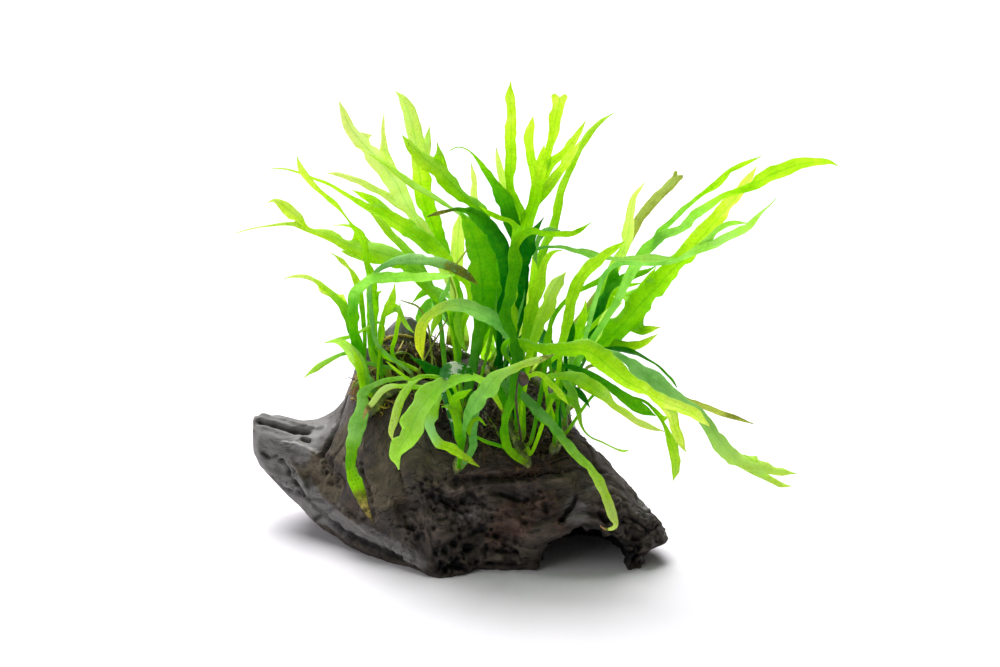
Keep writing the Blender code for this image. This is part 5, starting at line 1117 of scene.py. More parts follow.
class Sheet:
    """One blade's surface: along it from 0 at the foot to 1 at the tip, and across it from -1 to 1."""

    def __init__(self, drawn_points, turn, solid, seed, held=0.0, start=0.0, blunt=False):
        curve = smooth_curve([(*point, width, turn) for point, width in drawn_points])
        self.blunt = blunt
        self.tip = BLUNT_TIP if blunt else TIP
        self.length = length_of(curve)
        self.coarse = max(round(self.length / ROW_STEP), 3)
        self.rows = self.coarse * FINER
        self.line = evenly(curve, self.rows)
        self.seed = seed
        self.broad = max(row[3] for row in self.line) > BROAD
        self.start = start
        self.shifts = self.found_shifts(solid, held)
        self.places = [self.placed(k) for k in range(self.rows + 1)]
        self.halves = [self.half(k) for k in range(self.rows + 1)]

    def found_shifts(self, solid, held):
        """How far along the line of sight the node's blade lies from each of its rows as drawn."""
        shifts = [held]
        if solid is None:
            return [held] * (self.coarse + 1)
        for k in range(1, self.coarse + 1):
            point = Vector(self.line[k * FINER][:3])
            sight = (point - EYE).normalized()
            inside = []
            closest = (1, shifts[-1])
            for step in range(-SEARCH_STEPS, SEARCH_STEPS + 1):
                shift = shifts[-1] + step * SEARCH_STEP
                gap = solid.find_nearest(point + sight * shift)[3]
                closest = min(closest, (gap, shift))
                if gap < ON_NODE:
                    inside.append(shift)
            if k / self.coarse < self.start:
                shifts.append(held)
            else:
                shifts.append(sum(inside) / len(inside) if inside else closest[1])
        return shifts

    def placed(self, k):
        at = k / FINER
        i = min(int(at), self.coarse - 1)
        shift = self.shifts[i] + (self.shifts[i + 1] - self.shifts[i]) * smoothstep(at - i)
        point = Vector(self.line[k][:3])
        return point + (point - EYE).normalized() * shift

    def half(self, k):
        """Half the blade's width as a vector, and its unit normal, which points away from the eye."""
        along = (self.places[min(k + 2, self.rows)] - self.places[max(k - 2, 0)]).normalized()
        sight = (self.places[k] - EYE).normalized()
        level = sight.cross(along).normalized()
        depth = along.cross(level)
        width, turn = self.line[k][3:5]
        turn += TWIST * noise.noise(Vector((k * self.length / self.rows / TWIST_LENGTH, self.seed, 0)))
        across = level * math.cos(turn) + depth * math.sin(turn)
        return across * (width / 2), along.cross(across)

    def wander(self, walked, length, side):
        """Noise from -1 to 1 along one edge, over this length, at walked millimetres from the foot."""
        return noise.noise(Vector((walked / length, side, self.seed)))

    def edge(self, walked, side, waved):
        """How far out the edge lies, in shares of half the width."""
        edge = 1 + EDGE_SWELL * self.wander(walked, EDGE_SWELL_LENGTH, side * 3)
        edge += EDGE_RIPPLE * self.wander(walked, EDGE_RIPPLE_LENGTH, side * 5)
        nick = self.wander(walked, NICK_LENGTH, side * 7)
        edge -= NICK * smoothstep((nick - 0.28) * 7)
        edge += TOOTH * smoothstep((-nick - 0.34) * 9)
        return 1 + (edge - 1) * waved

    def at(self, across, along):
        """The point of the sheet, this far across and along."""
        along = min(max(along, 0), 1)
        left = (1 - along) * self.length / MM
        if self.blunt:
            along -= 1.6 * MM / self.length * (1 - abs(across)) * smoothstep((4 - left) / 4)
        k = along * self.rows
        i = min(int(k), self.rows - 1)
        part = k - i
        place = self.places[i].lerp(self.places[i + 1], part)
        half = self.halves[i][0].lerp(self.halves[i + 1][0], part)
        normal = self.halves[i][1].lerp(self.halves[i + 1][1], part).normalized()
        walked = along * self.length / MM
        side = 1 if across > 0 else -1
        waved = smoothstep((walked - SMOOTH_FOOT) / SMOOTH_FADE)
        edge = self.edge(walked, side, waved) * (0.25 + 0.75 * min(1, left / self.tip))
        if self.blunt:
            edge += 0.35 * smoothstep((3 - left) / 3)
        width = half.length * 2 / MM
        sag = (BROAD_CAMBER if self.broad else CAMBER) * width * across**2
        rib = RIB * math.exp(-(across / 0.16) ** 2)
        wave = WAVE * abs(across) ** 2 * self.wander(walked, WAVE_LENGTH, side * 2)
        wave += CURL * abs(across) ** 3 * self.wander(walked, CURL_LENGTH, side * 4)
        wave *= min(1, width / FULLY_WAVED)
        pillow = PILLOW * noise.noise(Vector((walked / PILLOW_LENGTH, across * 1.6, self.seed + 4)))
        pillow *= min(1, width / FULLY_WAVED) * (1 - across**2 * 0.5)
        return place + half * across * edge + normal * (sag + rib + (wave + pillow) * waved) * MM


def leaf_grid(name, columns, rows, place, tint):
    """A grid whose points are put at place(across, along), with the leaf's attributes."""
    bpy.ops.mesh.primitive_grid_add(x_subdivisions=columns, y_subdivisions=rows, size=1)
    grid = bpy.context.object
    grid.name = name
    blade = []
    tints = []
    thick = grid.vertex_groups.new(name="thick")
    for vertex in grid.data.vertices:
        even = vertex.co.x * 2
        across = math.copysign(abs(even) ** CROWDED, even)
        along = vertex.co.y + 0.5
        vertex.co, walked, weight = place(across, along)
        blade.append((across, walked, 0))
        tints.append(tint(across, walked))
        thick.add([vertex.index], weight, "REPLACE")
    give_attribute(grid.data, "blade", "FLOAT_VECTOR", blade)
    give_attribute(grid.data, "tint", "FLOAT_VECTOR", tints)
    return grid


def build_leaf(name, main, lobes, tone, age):
    """The finished leaf: the main sheet and its lobes joined, thickened and smoothed."""
    foot, tip, brown_from, brown, spots = age
    full = main.length / MM

    def tint(across, walked):
        share = walked / full
        level = TONE_LEVEL[tone] + foot * (1 - share) ** 2 + tip * smoothstep((share - 0.4) / 0.6)
        old = brown * smoothstep((share - brown_from) / max(1 - brown_from, 0.04) * 1.6)
        old = max(old, BROWN_FOOT * smoothstep((FOOT_END - walked) / 9))
        return (level, old, spots * smoothstep(share * 1.6 - 0.3))

    def main_place(across, along):
        walked = along * main.length
        weight = max(BLADE / STALK, 1 - smoothstep(walked / STALK_LENGTH))
        weight = max(weight, (BLADE / STALK + RIB_STALK) * math.exp(-(across / 0.2) ** 2))
        return main.at(across, along), walked / MM, weight

    grids = [leaf_grid(name, COLUMNS, main.rows, main_place, tint)]
    for lobe, root_row, side, first in lobes:
        root = [main.at(side, (root_row * FINER + j) / main.rows) for j in range(FINER + 1)]
        flip = (root[-1] - root[0]).dot(lobe.halves[round(first * lobe.rows)][0]) < 0
        base_walked = root_row * FINER / main.rows * full
        root_width = (root[-1] - root[0]).length

        def lobe_place(across, along, lobe=lobe, root=root, flip=flip, first=first):
            even = math.copysign(abs(across) ** (1 / CROWDED), across)
            spot = (even + 1) / 2 * FINER
            spot = FINER - spot if flip else spot
            on_rim = root[min(max(round(spot), 0), FINER)]
            far = first + (1 - first) * along
            out = (far - first) * lobe.length / MM
            point = lobe.at(across, far)
            middle = lobe.at(0, far)
            own = 2 * lobe.halves[min(round(far * lobe.rows), lobe.rows)][0].length
            flare = 1 + max(root_width / own - 1, 0) * math.exp(-out / LOBE_FLARE)
            point = middle + (point - middle) * flare
            walked = base_walked + along * (full - base_walked)
            return on_rim.lerp(point, smoothstep(out / LOBE_ROOT)), walked, BLADE / STALK

        rows = max(round((1 - first) * lobe.rows), 4)
        grids.append(leaf_grid(name + "_lobe", FINER, rows, lobe_place, tint))
    select_only(*grids)
    if len(grids) > 1:
        bpy.ops.object.join()
    leaf = bpy.context.object
    merge_points(leaf, 0.02 * MM)
    bpy.ops.object.mode_set(mode="EDIT")
    bpy.ops.mesh.select_all(action="SELECT")
    bpy.ops.mesh.normals_make_consistent(inside=False)
    bpy.ops.object.mode_set(mode="OBJECT")
    thickness = leaf.modifiers.new("thickness", "SOLIDIFY")
    thickness.thickness = STALK
    thickness.offset = 0
    thickness.vertex_group = "thick"
    round_off = leaf.modifiers.new("round", "SUBSURF")
    round_off.levels = round_off.render_levels = 1
    leaf = apply_all(leaf)
    # Painted sheen: faces that look up get a pale tint, as if lit by the lamp above, and so do the spans
    # listed for some fronds.
    sheen_from, sheen_to, sheen_strength = PAINTED_SHEEN_SPANS.get(name.replace("leaf", "frond"), (0, 0, 0))
    painted_sheen = []
    for vertex, blade in zip(leaf.data.vertices, leaf.data.attributes["blade"].data):
        share = blade.vector.y / full
        held = sheen_strength * smoothstep((share - sheen_from) / 0.12) * smoothstep((sheen_to - share) / 0.12)
        painted_sheen.append(max(held, smoothstep((vertex.normal.z - 0.15) / 0.7)))
    give_attribute(leaf.data, "painted_sheen", "FLOAT", painted_sheen)
    leaf.data.shade_smooth()
    return leaf


def leaf_material(name, stops, sheen_strength, sheen_stops, sheen_tone, roughness, gloss):
    """Leaf tissue: its tone from the tint attribute, midrib and bumps, browning, and light through it."""
    finish = Finish(name)
    place = finish.object_place()
    level, old, spotting = finish.three_of("tint")
    across = finish.three_of("blade")[0]
    cloud = finish.noise(place, 95, detail=4)
    mottle = finish.noise(place, 330, detail=5, rough=0.7)
    level = finish.scaled(mottle, 0.26, finish.scaled(cloud, 0.32, level))
    tissue = finish.ramp(finish.scaled(level, 1.0, -0.29), stops, smooth=False)
    # The midrib is a thin darker line, and a net of fine veins lies between it and the edges.
    rib = finish.ramp(finish.worked_out("ABSOLUTE", across), [(0.0, 1.0), (0.13, 0.0)])
    tissue = finish.mixed("MULTIPLY", rib, tissue, (0.72, 0.88, 0.6))
    net = finish.ramp(finish.cells(place, 430, "DISTANCE_TO_EDGE"), [(0.0, 0.95), (0.12, 1.0)])
    tissue = finish.mixed("MULTIPLY", 1.0, tissue, net)
    grain = finish.noise(place, 1100, detail=2)
    tissue = finish.mixed("MULTIPLY", 1.0, tissue, finish.ramp(grain, [(0.3, 0.92), (0.7, 1.05)]))
    # A painted sheen: a pale tint stands in for the light that the faces looking up, and some others,
    # reflect.
    uneven = finish.ramp(finish.scaled(mottle, 0.4, finish.scaled(cloud, 0.6)), sheen_stops)
    sheen_mask = finish.scaled(finish.scaled(finish.attribute("painted_sheen"), sheen_strength), uneven)
    tissue = finish.mixed("MIX", sheen_mask, tissue, sheen_tone)
    # Browning spreads in patches, olive at first and tan when it is old. Dark spots are small and round.
    browned = finish.ramp(finish.scaled(old, 1.15, mottle), [(0.72, 0.0), (0.98, 1.0)])
    aged = finish.ramp(old, [(0.40, (0.230, 0.280, 0.035)), (0.85, (0.520, 0.380, 0.190))])
    flecks = finish.ramp(mottle, [(0.38, 0.35), (0.50, 0.95), (0.64, 1.6)])
    tissue = finish.mixed("MIX", browned, tissue, finish.mixed("MULTIPLY", 1.0, aged, flecks))
    near_spot = finish.scaled(spotting, -0.22, finish.cells(place, 620))
    spots = finish.ramp(near_spot, [(0.0, 1.0), (0.10, 0.0)])
    spots = finish.scaled(spots, finish.scaled(spotting, 1.6, 0.1))
    tissue = finish.mixed("MIX", spots, tissue, (0.030, 0.028, 0.006))
    finish.shade("Base Color", finish.mixed("MULTIPLY", 1.0, tissue, FACE))
    finish.shade("Roughness", roughness)
    finish.shade("Specular IOR Level", gloss)
    finish.bump((grain, 0.06 * MM), (mottle, 0.12 * MM))
    # Half of the light goes through the blade.
    lit = finish.nodes.new("ShaderNodeBsdfTranslucent")
    finish.give(lit.inputs["Color"], finish.mixed("MULTIPLY", 1.0, tissue, THROUGH))
    both = finish.nodes.new("ShaderNodeMixShader")
    both.inputs["Fac"].default_value = 0.55
    finish.give(both.inputs[1], finish.shader.outputs["BSDF"])
    finish.give(both.inputs[2], lit.outputs["BSDF"])
    finish.give(finish.nodes["Material Output"].inputs["Surface"], both.outputs["Shader"])
    return finish.material


GREENS = [(0.0, (0.000, 0.100, 0.000)), (0.25, (0.004, 0.270, 0.003)), (0.5, (0.160, 0.565, 0.002)),
          (0.72, (0.460, 0.830, 0.006)), (0.88, (0.660, 0.940, 0.060)), (1.0, (0.790, 0.970, 0.280))]
PALES = [(0.4, (0.110, 0.510, 0.004)), (0.65, (0.420, 0.800, 0.060)), (0.85, (0.740, 1.000, 0.340)),
         (1.0, (0.850, 1.000, 0.520))]
TEALS = [(0.15, (0.020, 0.300, 0.030)), (0.40, (0.190, 0.560, 0.110)), (0.60, (0.400, 0.720, 0.200)),
         (0.95, (0.760, 0.900, 0.060))]
OLIVES = [(0.15, (0.160, 0.200, 0.030)), (0.40, (0.400, 0.500, 0.080)), (0.75, (0.600, 0.720, 0.220))]
FACE = (0.98, 0.98, 0.95)
THROUGH = (1.26, 1.10, 0.80)  # tints the light that goes through a blade
# The tone and patches of the painted sheen, a pale tint standing in for reflected light.
PAINTED_SHEEN_TONE = (0.55, 0.93, 0.50)
PAINTED_SHEEN_PATCHES = [(0.35, 0.5), (0.65, 1.3)]
# Painted glints: pale patches of this tone on the shiny curled leaf, standing in for highlights.
PAINTED_GLINT_TONE = (0.80, 0.90, 0.84)
PAINTED_GLINT_PATCHES = [(0.53, 0.0), (0.57, 1.0)]
leaf_materials = {"shiny": leaf_material("leaf shiny", GREENS, 1.0, PAINTED_GLINT_PATCHES, PAINTED_GLINT_TONE, 0.12, 0.6)}
for tone in TONE_LEVEL:
    stops = {"teal": TEALS, "olive": OLIVES, "pale": PALES}.get(tone, GREENS)
    sheen_strength = 0.04 if tone == "deep" else 0.30
    leaf_materials[tone] = leaf_material("leaf " + tone, stops, sheen_strength, PAINTED_SHEEN_PATCHES, PAINTED_SHEEN_TONE, 0.38, 0.08)


def drawn_sheet(rhizome, part, away, turn, drawn, thinnest, solid, seed, blunt=False):
    """The sheet of a blade as drawn, from its seat on the rhizome on."""
    seat, out = seat_of(lines[rhizome], part, sketch_point(*drawn[0][:2], away[0]))
    stalk_width = max(drawn[0][2] * STALK_SHARE, thinnest) * MM
    points = [(seat, stalk_width), (out, stalk_width)]
    points += [(point, real_width(width, turn)) for point, width in seen_points(seat, away, drawn)]
    return Sheet(points, turn, solid, seed, blunt=blunt)


def lobe_sheet(main, drawn, farther, turn, solid, seed):
    """A lobe's sheet, the main blade's row that it starts at, its side, and where it leaves the edge."""
    coarse_places = [main.places[k * FINER] for k in range(main.coarse + 1)]
    as_drawn = [Vector(main.line[k * FINER][:3]) for k in range(main.coarse + 1)]

    def distance(k):
        return math.dist(in_picture((as_drawn[k] + as_drawn[k + 1]) / 2), drawn[0][:2])

    root = min(range(1, main.coarse - 1), key=distance)
    start = (as_drawn[root] + as_drawn[root + 1]) / 2
    points = [(start, real_width(drawn[0][2] * MM, turn))]
    for i, (col, row, width) in enumerate(drawn[1:], 1):
        away = start.y / MM + farther * i / (len(drawn) - 1)
        points.append((sketch_point(col, row, away), real_width(width * MM, turn)))
    held = (main.shifts[root] + main.shifts[root + 1]) / 2
    half_width = main.halves[root * FINER][0].length
    total = length_of(smooth_curve([(*point, width) for point, width in points]))
    lobe = Sheet(points, turn, solid, seed, held, start=(half_width + 0.8 * MM) / total)
    middle = (coarse_places[root] + coarse_places[root + 1]) / 2
    outward = lobe.places[min(2 * FINER, lobe.rows)] - middle
    side = 1 if outward.dot(main.halves[root * FINER][0]) > 0 else -1
    first = min((half_width + 0.2 * MM) / lobe.length, 0.5)
    return lobe, root, side, first


NEW_LEAF = (0, 0.1, 0.99, 0.1, 0.0)
for number, (name, rhizome, part, away, turn, tone, drawn, lobes) in enumerate(FRONDS):
    turn = math.radians(turn)
    solid = surface_of(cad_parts[name])
    seed = number * 1.7
    drawn = drawn + RUN_OUTS.get(name, [])
    blunt = name in BLUNT
    main = drawn_sheet(rhizome, part, away, turn, drawn, THINNEST_STALK, solid, seed, blunt)
    lobe_sheets = [lobe_sheet(main, lobe, farther, turn, solid, seed + 0.4 * i)
                   for i, (farther, lobe) in enumerate(lobes, 1)]
    lobe_sheets += [lobe_sheet(main, slip, farther, turn, None, seed + 0.4 * i)
                    for i, (farther, slip) in enumerate(SLIPS.get(name, []), 5)]
    leaf = build_leaf(name.replace("frond", "leaf"), main, lobe_sheets, tone, AGES.get(name, NEW_LEAF))
    fit(leaf, leaf_materials[tone], name)
for number, (name, rhizome, part, turn, tone, blade) in enumerate(BACK_FRONDS):
    turn = math.radians(turn)
    solid = surface_of(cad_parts[name])
    seat, out = seat_of(lines[rhizome], part, Vector(blade[0][:3]) * MM)
    points = [(seat, REAR_STALK), (out, REAR_STALK)]
    points += [(Vector((x, y, z)) * MM, width * MM) for x, y, z, width in blade]
    main = Sheet(points, turn, solid, 90 + number * 1.7)
    leaf = build_leaf(name.replace("frond", "leaf"), main, [], tone, NEW_LEAF)
    fit(leaf, leaf_materials[tone], name)

# ---------------------------------------------------------------- small leaves
# Young leaves and side shoots between the grown ones, each on its own short stalk on a creeping stem.
# They are too thin and too many for the solids. Columns and rows as for the fronds.
SMALL_LEAVES = [
    ("pale_behind", "rhizome_back", 0.22, (40, 46), 10, "pale",
     [(456, 290, 3.4), (457, 262, 5.4), (458, 240, 5.6), (459, 225, 4), (460, 212, 1)]),
    ("left_inner", "rhizome_left", 0.84, (3, 6), 20, "mid",
     [(380, 360, 2), (376, 348, 3), (371, 336, 3), (368, 322, 1)]),
    ("hanging_inner", "rhizome_left", 0.34, (-4, -14), 15, "mid",
     [(456, 340, 1.2), (451, 318, 1.5), (453, 307, 2), (458, 309, 2.6), (457, 320, 3.2), (459, 335, 2.8),
      (463, 345, 2), (467, 354, 0.8)]),
    ("hanging_pale", "rhizome_left", 0.40, (0, -10), -15, "lime",
     [(452, 335, 1.2), (449, 312, 1.6), (444, 306, 2.4), (440, 313, 3), (436, 321, 3), (433, 329, 2.2),
      (431, 337, 0.8)]),
    ("teal_link", "rhizome_left", 0.44, (2, -4), 20, "teal",
     [(452, 330, 1.2), (443, 308, 1.6), (441, 299, 2), (447, 290, 2), (450, 278, 0.8)]),
    ("tendril", "rhizome_left", 0.30, (-26, -34), 20, "lime",
     [(452, 384, 1.6), (440, 378, 1.4), (420, 376, 1.2), (411, 380, 1), (400, 373, 1), (393, 367, 0.9),
      (386, 361, 0.6)]),
    ("grey_twig", "rhizome_left", 0.66, (2, -12), 30, "olive",
     [(455, 300, 0.6), (450, 275, 0.6), (458, 262, 0.7), (464, 254, 0.7), (469, 246, 0.4)]),
    ("basin", "rhizome_left", 0.34, (-12, -8), 10, "deep",
     [(447, 381, 3), (438, 374, 5), (428, 367, 4.6), (418, 361, 2), (410, 357, 0.8)]),
    ("shiny_curl", "rhizome_left", 0.16, (-32, -34), -10, "deep",
     [(442, 384, 2.4), (444, 375, 4.4), (450, 369, 5), (460, 367, 5.4), (469, 370, 4.6), (473, 375, 1.4)]),
    ("teal_stem", "rhizome_left", 0.04, (-36, -34), 10, "teal",
     [(473, 447, 3), (473, 434, 3.2), (475, 420, 3.2), (480, 404, 2.6), (484, 392, 1)]),
    ("spur", "rhizome_centre", 0.14, (-34, -36), 10, "mid",
     [(470, 434, 1.6), (472, 422, 1.8), (478, 418, 1.8), (486, 426, 0.8)]),
    ("small_hang", "rhizome_centre", 0.30, (-28, -36), 15, "lime",
     [(528, 378, 1.6), (540, 374, 2), (551, 384, 2.6), (560, 394, 2.6), (569, 405, 0.8)]),
    ("narrow_right", "rhizome_right", 0.20, (0, 14), 25, "mid",
     [(548, 345, 1.6), (553, 318, 1.8), (568, 298, 2.2), (585, 288, 2), (600, 280, 2), (617, 262, 0.8)]),
    ("upright_green", "rhizome_centre", 0.16, (-10, -4), 10, "mid",
     [(544, 375, 2), (546, 352, 2.6), (549, 334, 2.8), (552, 318, 1)]),
    ("left_stripe", "rhizome_left", 0.86, (-4, -10), 20, "lime",
     [(380, 348, 1.2), (384, 328, 1), (378, 322, 1), (370, 326, 1), (361, 331, 1.1), (352, 336, 1.5),
      (340, 339, 1.6), (325, 343, 0.8)]),
    ("tall_companion", "rhizome_centre", 0.94, (22, 30), 15, "pale",
     [(514, 290, 2.4), (516, 240, 3), (511, 210, 3.2), (506, 192, 3.4), (501, 174, 3), (498, 159, 2.4),
      (496, 147, 0.6)]),
    ("dark_block", "rhizome_centre", 0.88, (-4, -8), 10, "deep",
     [(519, 300, 2.4), (523, 272, 4), (527, 250, 5.8), (530, 238, 5), (536, 229, 2.4), (544, 217, 0.7)]),
    ("teal_patch", "rhizome_right", 0.94, (4, -2), -15, "teal",
     [(534, 290, 1.6), (535, 258, 1.8), (538, 240, 2), (545, 231, 2.8), (553, 230, 2.6), (561, 231, 0.8)]),
    ("right_companion", "rhizome_right", 0.62, (18, 24), 15, "lime",
     [(566, 354, 2), (571, 342, 2.6), (580, 327, 2.8), (590, 310, 0.8)]),
    ("right_yellow", "rhizome_right", 0.70, (8, 12), 15, "pale",
     [(597, 338, 2), (603, 320, 2.6), (612, 310, 2.6), (623, 302, 0.8)]),
    ("right_small_lime", "rhizome_right", 0.80, (22, 27), 10, "lime",
     [(604, 315, 2), (615, 292, 2.2), (628, 286, 2), (643, 283, 0.7)]),
    ("right_filament", "rhizome_right", 0.42, (-2, -4), 30, "deep",
     [(560, 340, 0.8), (566, 328, 0.7), (568, 318, 0.6), (565, 312, 0.4)]),
    ("centre_stem", "rhizome_centre", 0.52, (-6, 0), 12, "lime",
     [(516, 365, 3), (513, 340, 4), (513, 312, 4.4), (515, 295, 3), (517, 282, 1)]),
    ("thin_upright", "rhizome_centre", 0.60, (4, 12), 20, "mid",
     [(498, 350, 1.6), (494, 325, 2), (490, 300, 2), (488, 280, 0.8)]),
    ("right_inner", "rhizome_right", 0.56, (14, 20), 15, "lime",
     [(572, 345, 2.4), (578, 330, 3.2), (583, 316, 3.2), (586, 300, 1)]),
    ("right_inner_dark", "rhizome_right", 0.46, (8, 12), -15, "deep",
     [(566, 350, 2), (572, 335, 2.6), (570, 320, 2.4), (566, 305, 0.9)]),
    ("right_low", "rhizome_right", 0.08, (-22, -30), 15, "mid",
     [(548, 398, 2), (560, 396, 2.6), (572, 402, 2.6), (580, 414, 1)]),
    ("right_low_dark", "rhizome_right", 0.14, (-18, -24), -15, "deep",
     [(560, 388, 2), (574, 390, 2.8), (584, 398, 2.6), (590, 408, 0.9)]),
    ("left_low", "rhizome_left", 0.92, (-12, -16), 15, "lime",
     [(364, 388, 2.4), (361, 376, 3), (358, 362, 2.6), (353, 349, 0.9)]),
    ("left_upright", "rhizome_left", 0.74, (4, 8), 15, "lime",
     [(392, 352, 1.6), (396, 336, 1.8), (399, 318, 1.8), (400, 302, 0.8)]),
    ("left_back_twig", "rhizome_left", 0.60, (8, 6), 20, "olive",
     [(430, 338, 0.8), (427, 322, 0.8), (423, 313, 0.8), (417, 306, 0.8), (409, 303, 0.7), (400, 300, 0.5)]),
    ("middle_back", "rhizome_back", 0.34, (34, 38), 12, "lime",
     [(492, 320, 3), (492, 295, 4), (494, 270, 4), (497, 250, 1.2)]),
    ("middle_pale", "rhizome_back", 0.48, (34, 40), -12, "pale",
     [(530, 320, 3), (528, 300, 3.6), (524, 280, 3.6), (520, 262, 1.2)]),
    ("right_pale", "rhizome_back", 0.78, (34, 40), 12, "pale",
     [(600, 325, 2.6), (608, 312, 3.2), (616, 302, 3), (624, 293, 1)]),
    ("right_back_low", "rhizome_back", 0.92, (34, 40), -12, "lime",
     [(612, 332, 2.4), (622, 322, 3), (634, 318, 2.6), (646, 312, 0.9)]),
    ("rear_low_left", "rhizome_back", 0.10, (52, 58), 15, "mid",
     [(452, 300, 2.4), (438, 290, 3), (424, 292, 3), (412, 303, 1)]),
    ("rear_low_right", "rhizome_back", 0.80, (54, 60), 15, "mid",
     [(585, 330, 2.4), (598, 322, 3), (612, 326, 3), (622, 338, 1)]),
]
for number, (name, rhizome, part, away, turn, tone, drawn) in enumerate(SMALL_LEAVES):
    turn = math.radians(turn)
    sheet = drawn_sheet(rhizome, part, away, turn, drawn, 0, None, 200 + number * 1.3)
    leaf = build_leaf("leaf_small_" + name, sheet, [], tone, NEW_LEAF)
    fit(leaf, leaf_materials["shiny" if "shiny" in name else tone])

# ---------------------------------------------------------------- moss and roots
# Moss has settled in the hollow of the wood behind the stems and between them: a dark, half rotted
# cushion with living tips that are gold, olive or green. Brown root hairs cling to the wood.
MOSS_VOXEL = 0.8 * MM
SUNK = 0.3  # millimetres that a strand is rooted in
WANDER = 0.35  # how much a strand turns at each step
NOD = 0.08
THINNED = 0.65  # how much of its radius a strand loses by its tip
RUNNER_ROWS = 6
MOSS_TUFTS = [  # pixel, reach in millimetres, share of the strands
    ((398, 362), 6, 0.18), ((420, 356), 7, 0.16), ((440, 350), 6, 0.14), ((410, 376), 7, 0.14),
    ((382, 374), 6, 0.12), ((372, 392), 5, 0.06), ((400, 348), 4, 0.06), ((455, 354), 6, 0.08),
    ((386, 400), 5, 0.04), ((365, 384), 4, 0.06),
]
ROOT_MOSS = [
    ((505, 405), 7, 0.16), ((530, 420), 8, 0.16), ((548, 408), 7, 0.14), ((556, 430), 6, 0.10),
    ((490, 425), 7, 0.12), ((470, 440), 6, 0.08), ((545, 450), 6, 0.08), ((520, 390), 7, 0.16),
]
TAN_TUFTS = [((358, 386), 4.5, 0.4), ((560, 418), 4.5, 0.4), ((436, 336), 4, 0.2)]
ROTTED_TONES = [(0.38, (0.008, 0.006, 0.003)), (0.55, (0.060, 0.036, 0.008)), (0.74, (0.220, 0.145, 0.024))]


def pick(tufts, chance):
    roll = chance.random() * sum(share for _, _, share in tufts)
    for pixel, reach, share in tufts:
        roll -= share
        if roll <= 0:
            return pixel, reach
    return tufts[-1][:2]


def strand(start, normal, length, radius, chance, rise=0.5, steps=6):
    """A wandering strand that grows from the surface, thins towards its tip and nods at the end."""
    lean = Vector(chance.gauss(0, 1) for _ in range(3)).normalized()
    heading = (normal * rise + lean).normalized()
    if heading.dot(normal) < 0.1:
        heading = (heading + normal * 0.5).normalized()
    place = start - normal * SUNK * MM
    line = [(place, radius)]
    for step in range(1, steps + 1):
        wander = Vector(chance.gauss(0, 1) for _ in range(3)) * WANDER
        heading = (heading + wander + Vector((0, 0, -NOD * step))).normalized()
        place = place + heading * length / steps
        place.z = max(place.z, 1 * MM)
        line.append((place, radius * (1 - THINNED * step / steps)))
    return line


core = fine_copy("moss_mat", "moss_cushion", MOSS_VOXEL)
for vertex in core.data.vertices:
    place = vertex.co.copy()
    lump = 1.3 * noise.noise(place / (5 * MM)) + 0.8 * noise.noise(place / (2 * MM)) - 0.7
    vertex.co = place + vertex.normal * lump * MM
core.data.shade_smooth()
fit(core, mottled("rotted moss", 700, ROTTED_TONES, 0.9, 0.8 * MM, detail=6, rough=0.75), "moss_mat")

core_surface = surface_of(core)
wood_surface = surface_of(wood)


def nearer(place):
    """The nearer of the moss cushion and the wood, as (point, normal)."""
    on_core = core_surface.find_nearest(place)
    on_bark = wood_surface.find_nearest(place)
    return on_core[:2] if on_core[3] < on_bark[3] + 1 * MM else on_bark[:2]


def runner(pixels, radius):
    """A thick strand that lies along these pixels on the moss cushion or the wood."""
    line = []
    for col, row in pixels:
        ray = sight_line(col, row)
        hits = [surface.ray_cast(EYE, ray) for surface in (core_surface, wood_surface)]
        hits = [hit for hit in hits if hit[0]] or [wood_surface.find_nearest(on_wood(col, row))]
        place, normal = min(hits, key=lambda hit: hit[3])[:2]
        line.append(place + normal * radius * 0.6 * MM)
    spaced = evenly(smooth_curve(line), RUNNER_ROWS * len(line))
    last = len(spaced) - 1
    return [(Vector(place), radius * MM * (0.8 + 0.5 * noise.noise(Vector(place) / (2 * MM)))
             * min(1, 0.35 + min(i, last - i) / 4)) for i, place in enumerate(spaced)]


def moss_piece(name, tufts, count, length, radius, tones, seed, rise=0.5, thick=()):
    """Strands of one tone that grow in the tufts, with some thick ones drawn, as one mesh."""
    chance = random.Random(seed)
    grown = []
    for _ in range(count):
        pixel, reach = pick(tufts, chance)
        middle = on_wood(*pixel)
        offset = Vector(chance.gauss(0, 0.5) for _ in range(3)) * reach * MM
        start, normal = nearer(middle + offset)
        grown.append(strand(start, normal, chance.uniform(*length) * MM,
                            chance.uniform(*radius) * MM, chance, rise))
    grown += [runner(pixels, width) for width, pixels in thick]
    piece = strands(name, grown, 1)
    fit(piece, mottled(name, 420, tones, 0.6, 0.1 * MM))


# Old runners and half rotted leaf stalks in the moss, as (radius in millimetres, pixels).
GOLD_RUNNERS = [
    (0.9, [(383, 342), (392, 337), (402, 336), (414, 338)]),
    (0.6, [(404, 340), (400, 350), (393, 358), (388, 366)]),
    (0.5, [(412, 344), (406, 352), (402, 360)]), (1.3, [(437, 326), (441, 334), (448, 342), (455, 348)]),
    (0.5, [(378, 352), (382, 362), (380, 372)]), (0.5, [(376, 376), (384, 370), (392, 368)]),
    (0.4, [(418, 345), (424, 352), (422, 362)]), (0.5, [(362, 384), (368, 392), (366, 404)]),
]
GREEN_RUNNERS = [
    (0.6, [(392, 356), (400, 353), (409, 354), (416, 362)]), (0.6, [(400, 357), (406, 364), (413, 371)]),
    (0.5, [(382, 372), (390, 366), (396, 368)]), (0.5, [(390, 380), (398, 372), (408, 368)]),
    (0.5, [(514, 421), (525, 414), (537, 407)]), (0.6, [(484, 412), (490, 420), (496, 430), (499, 438)]),
    (0.5, [(505, 392), (500, 402), (502, 414)]),
]
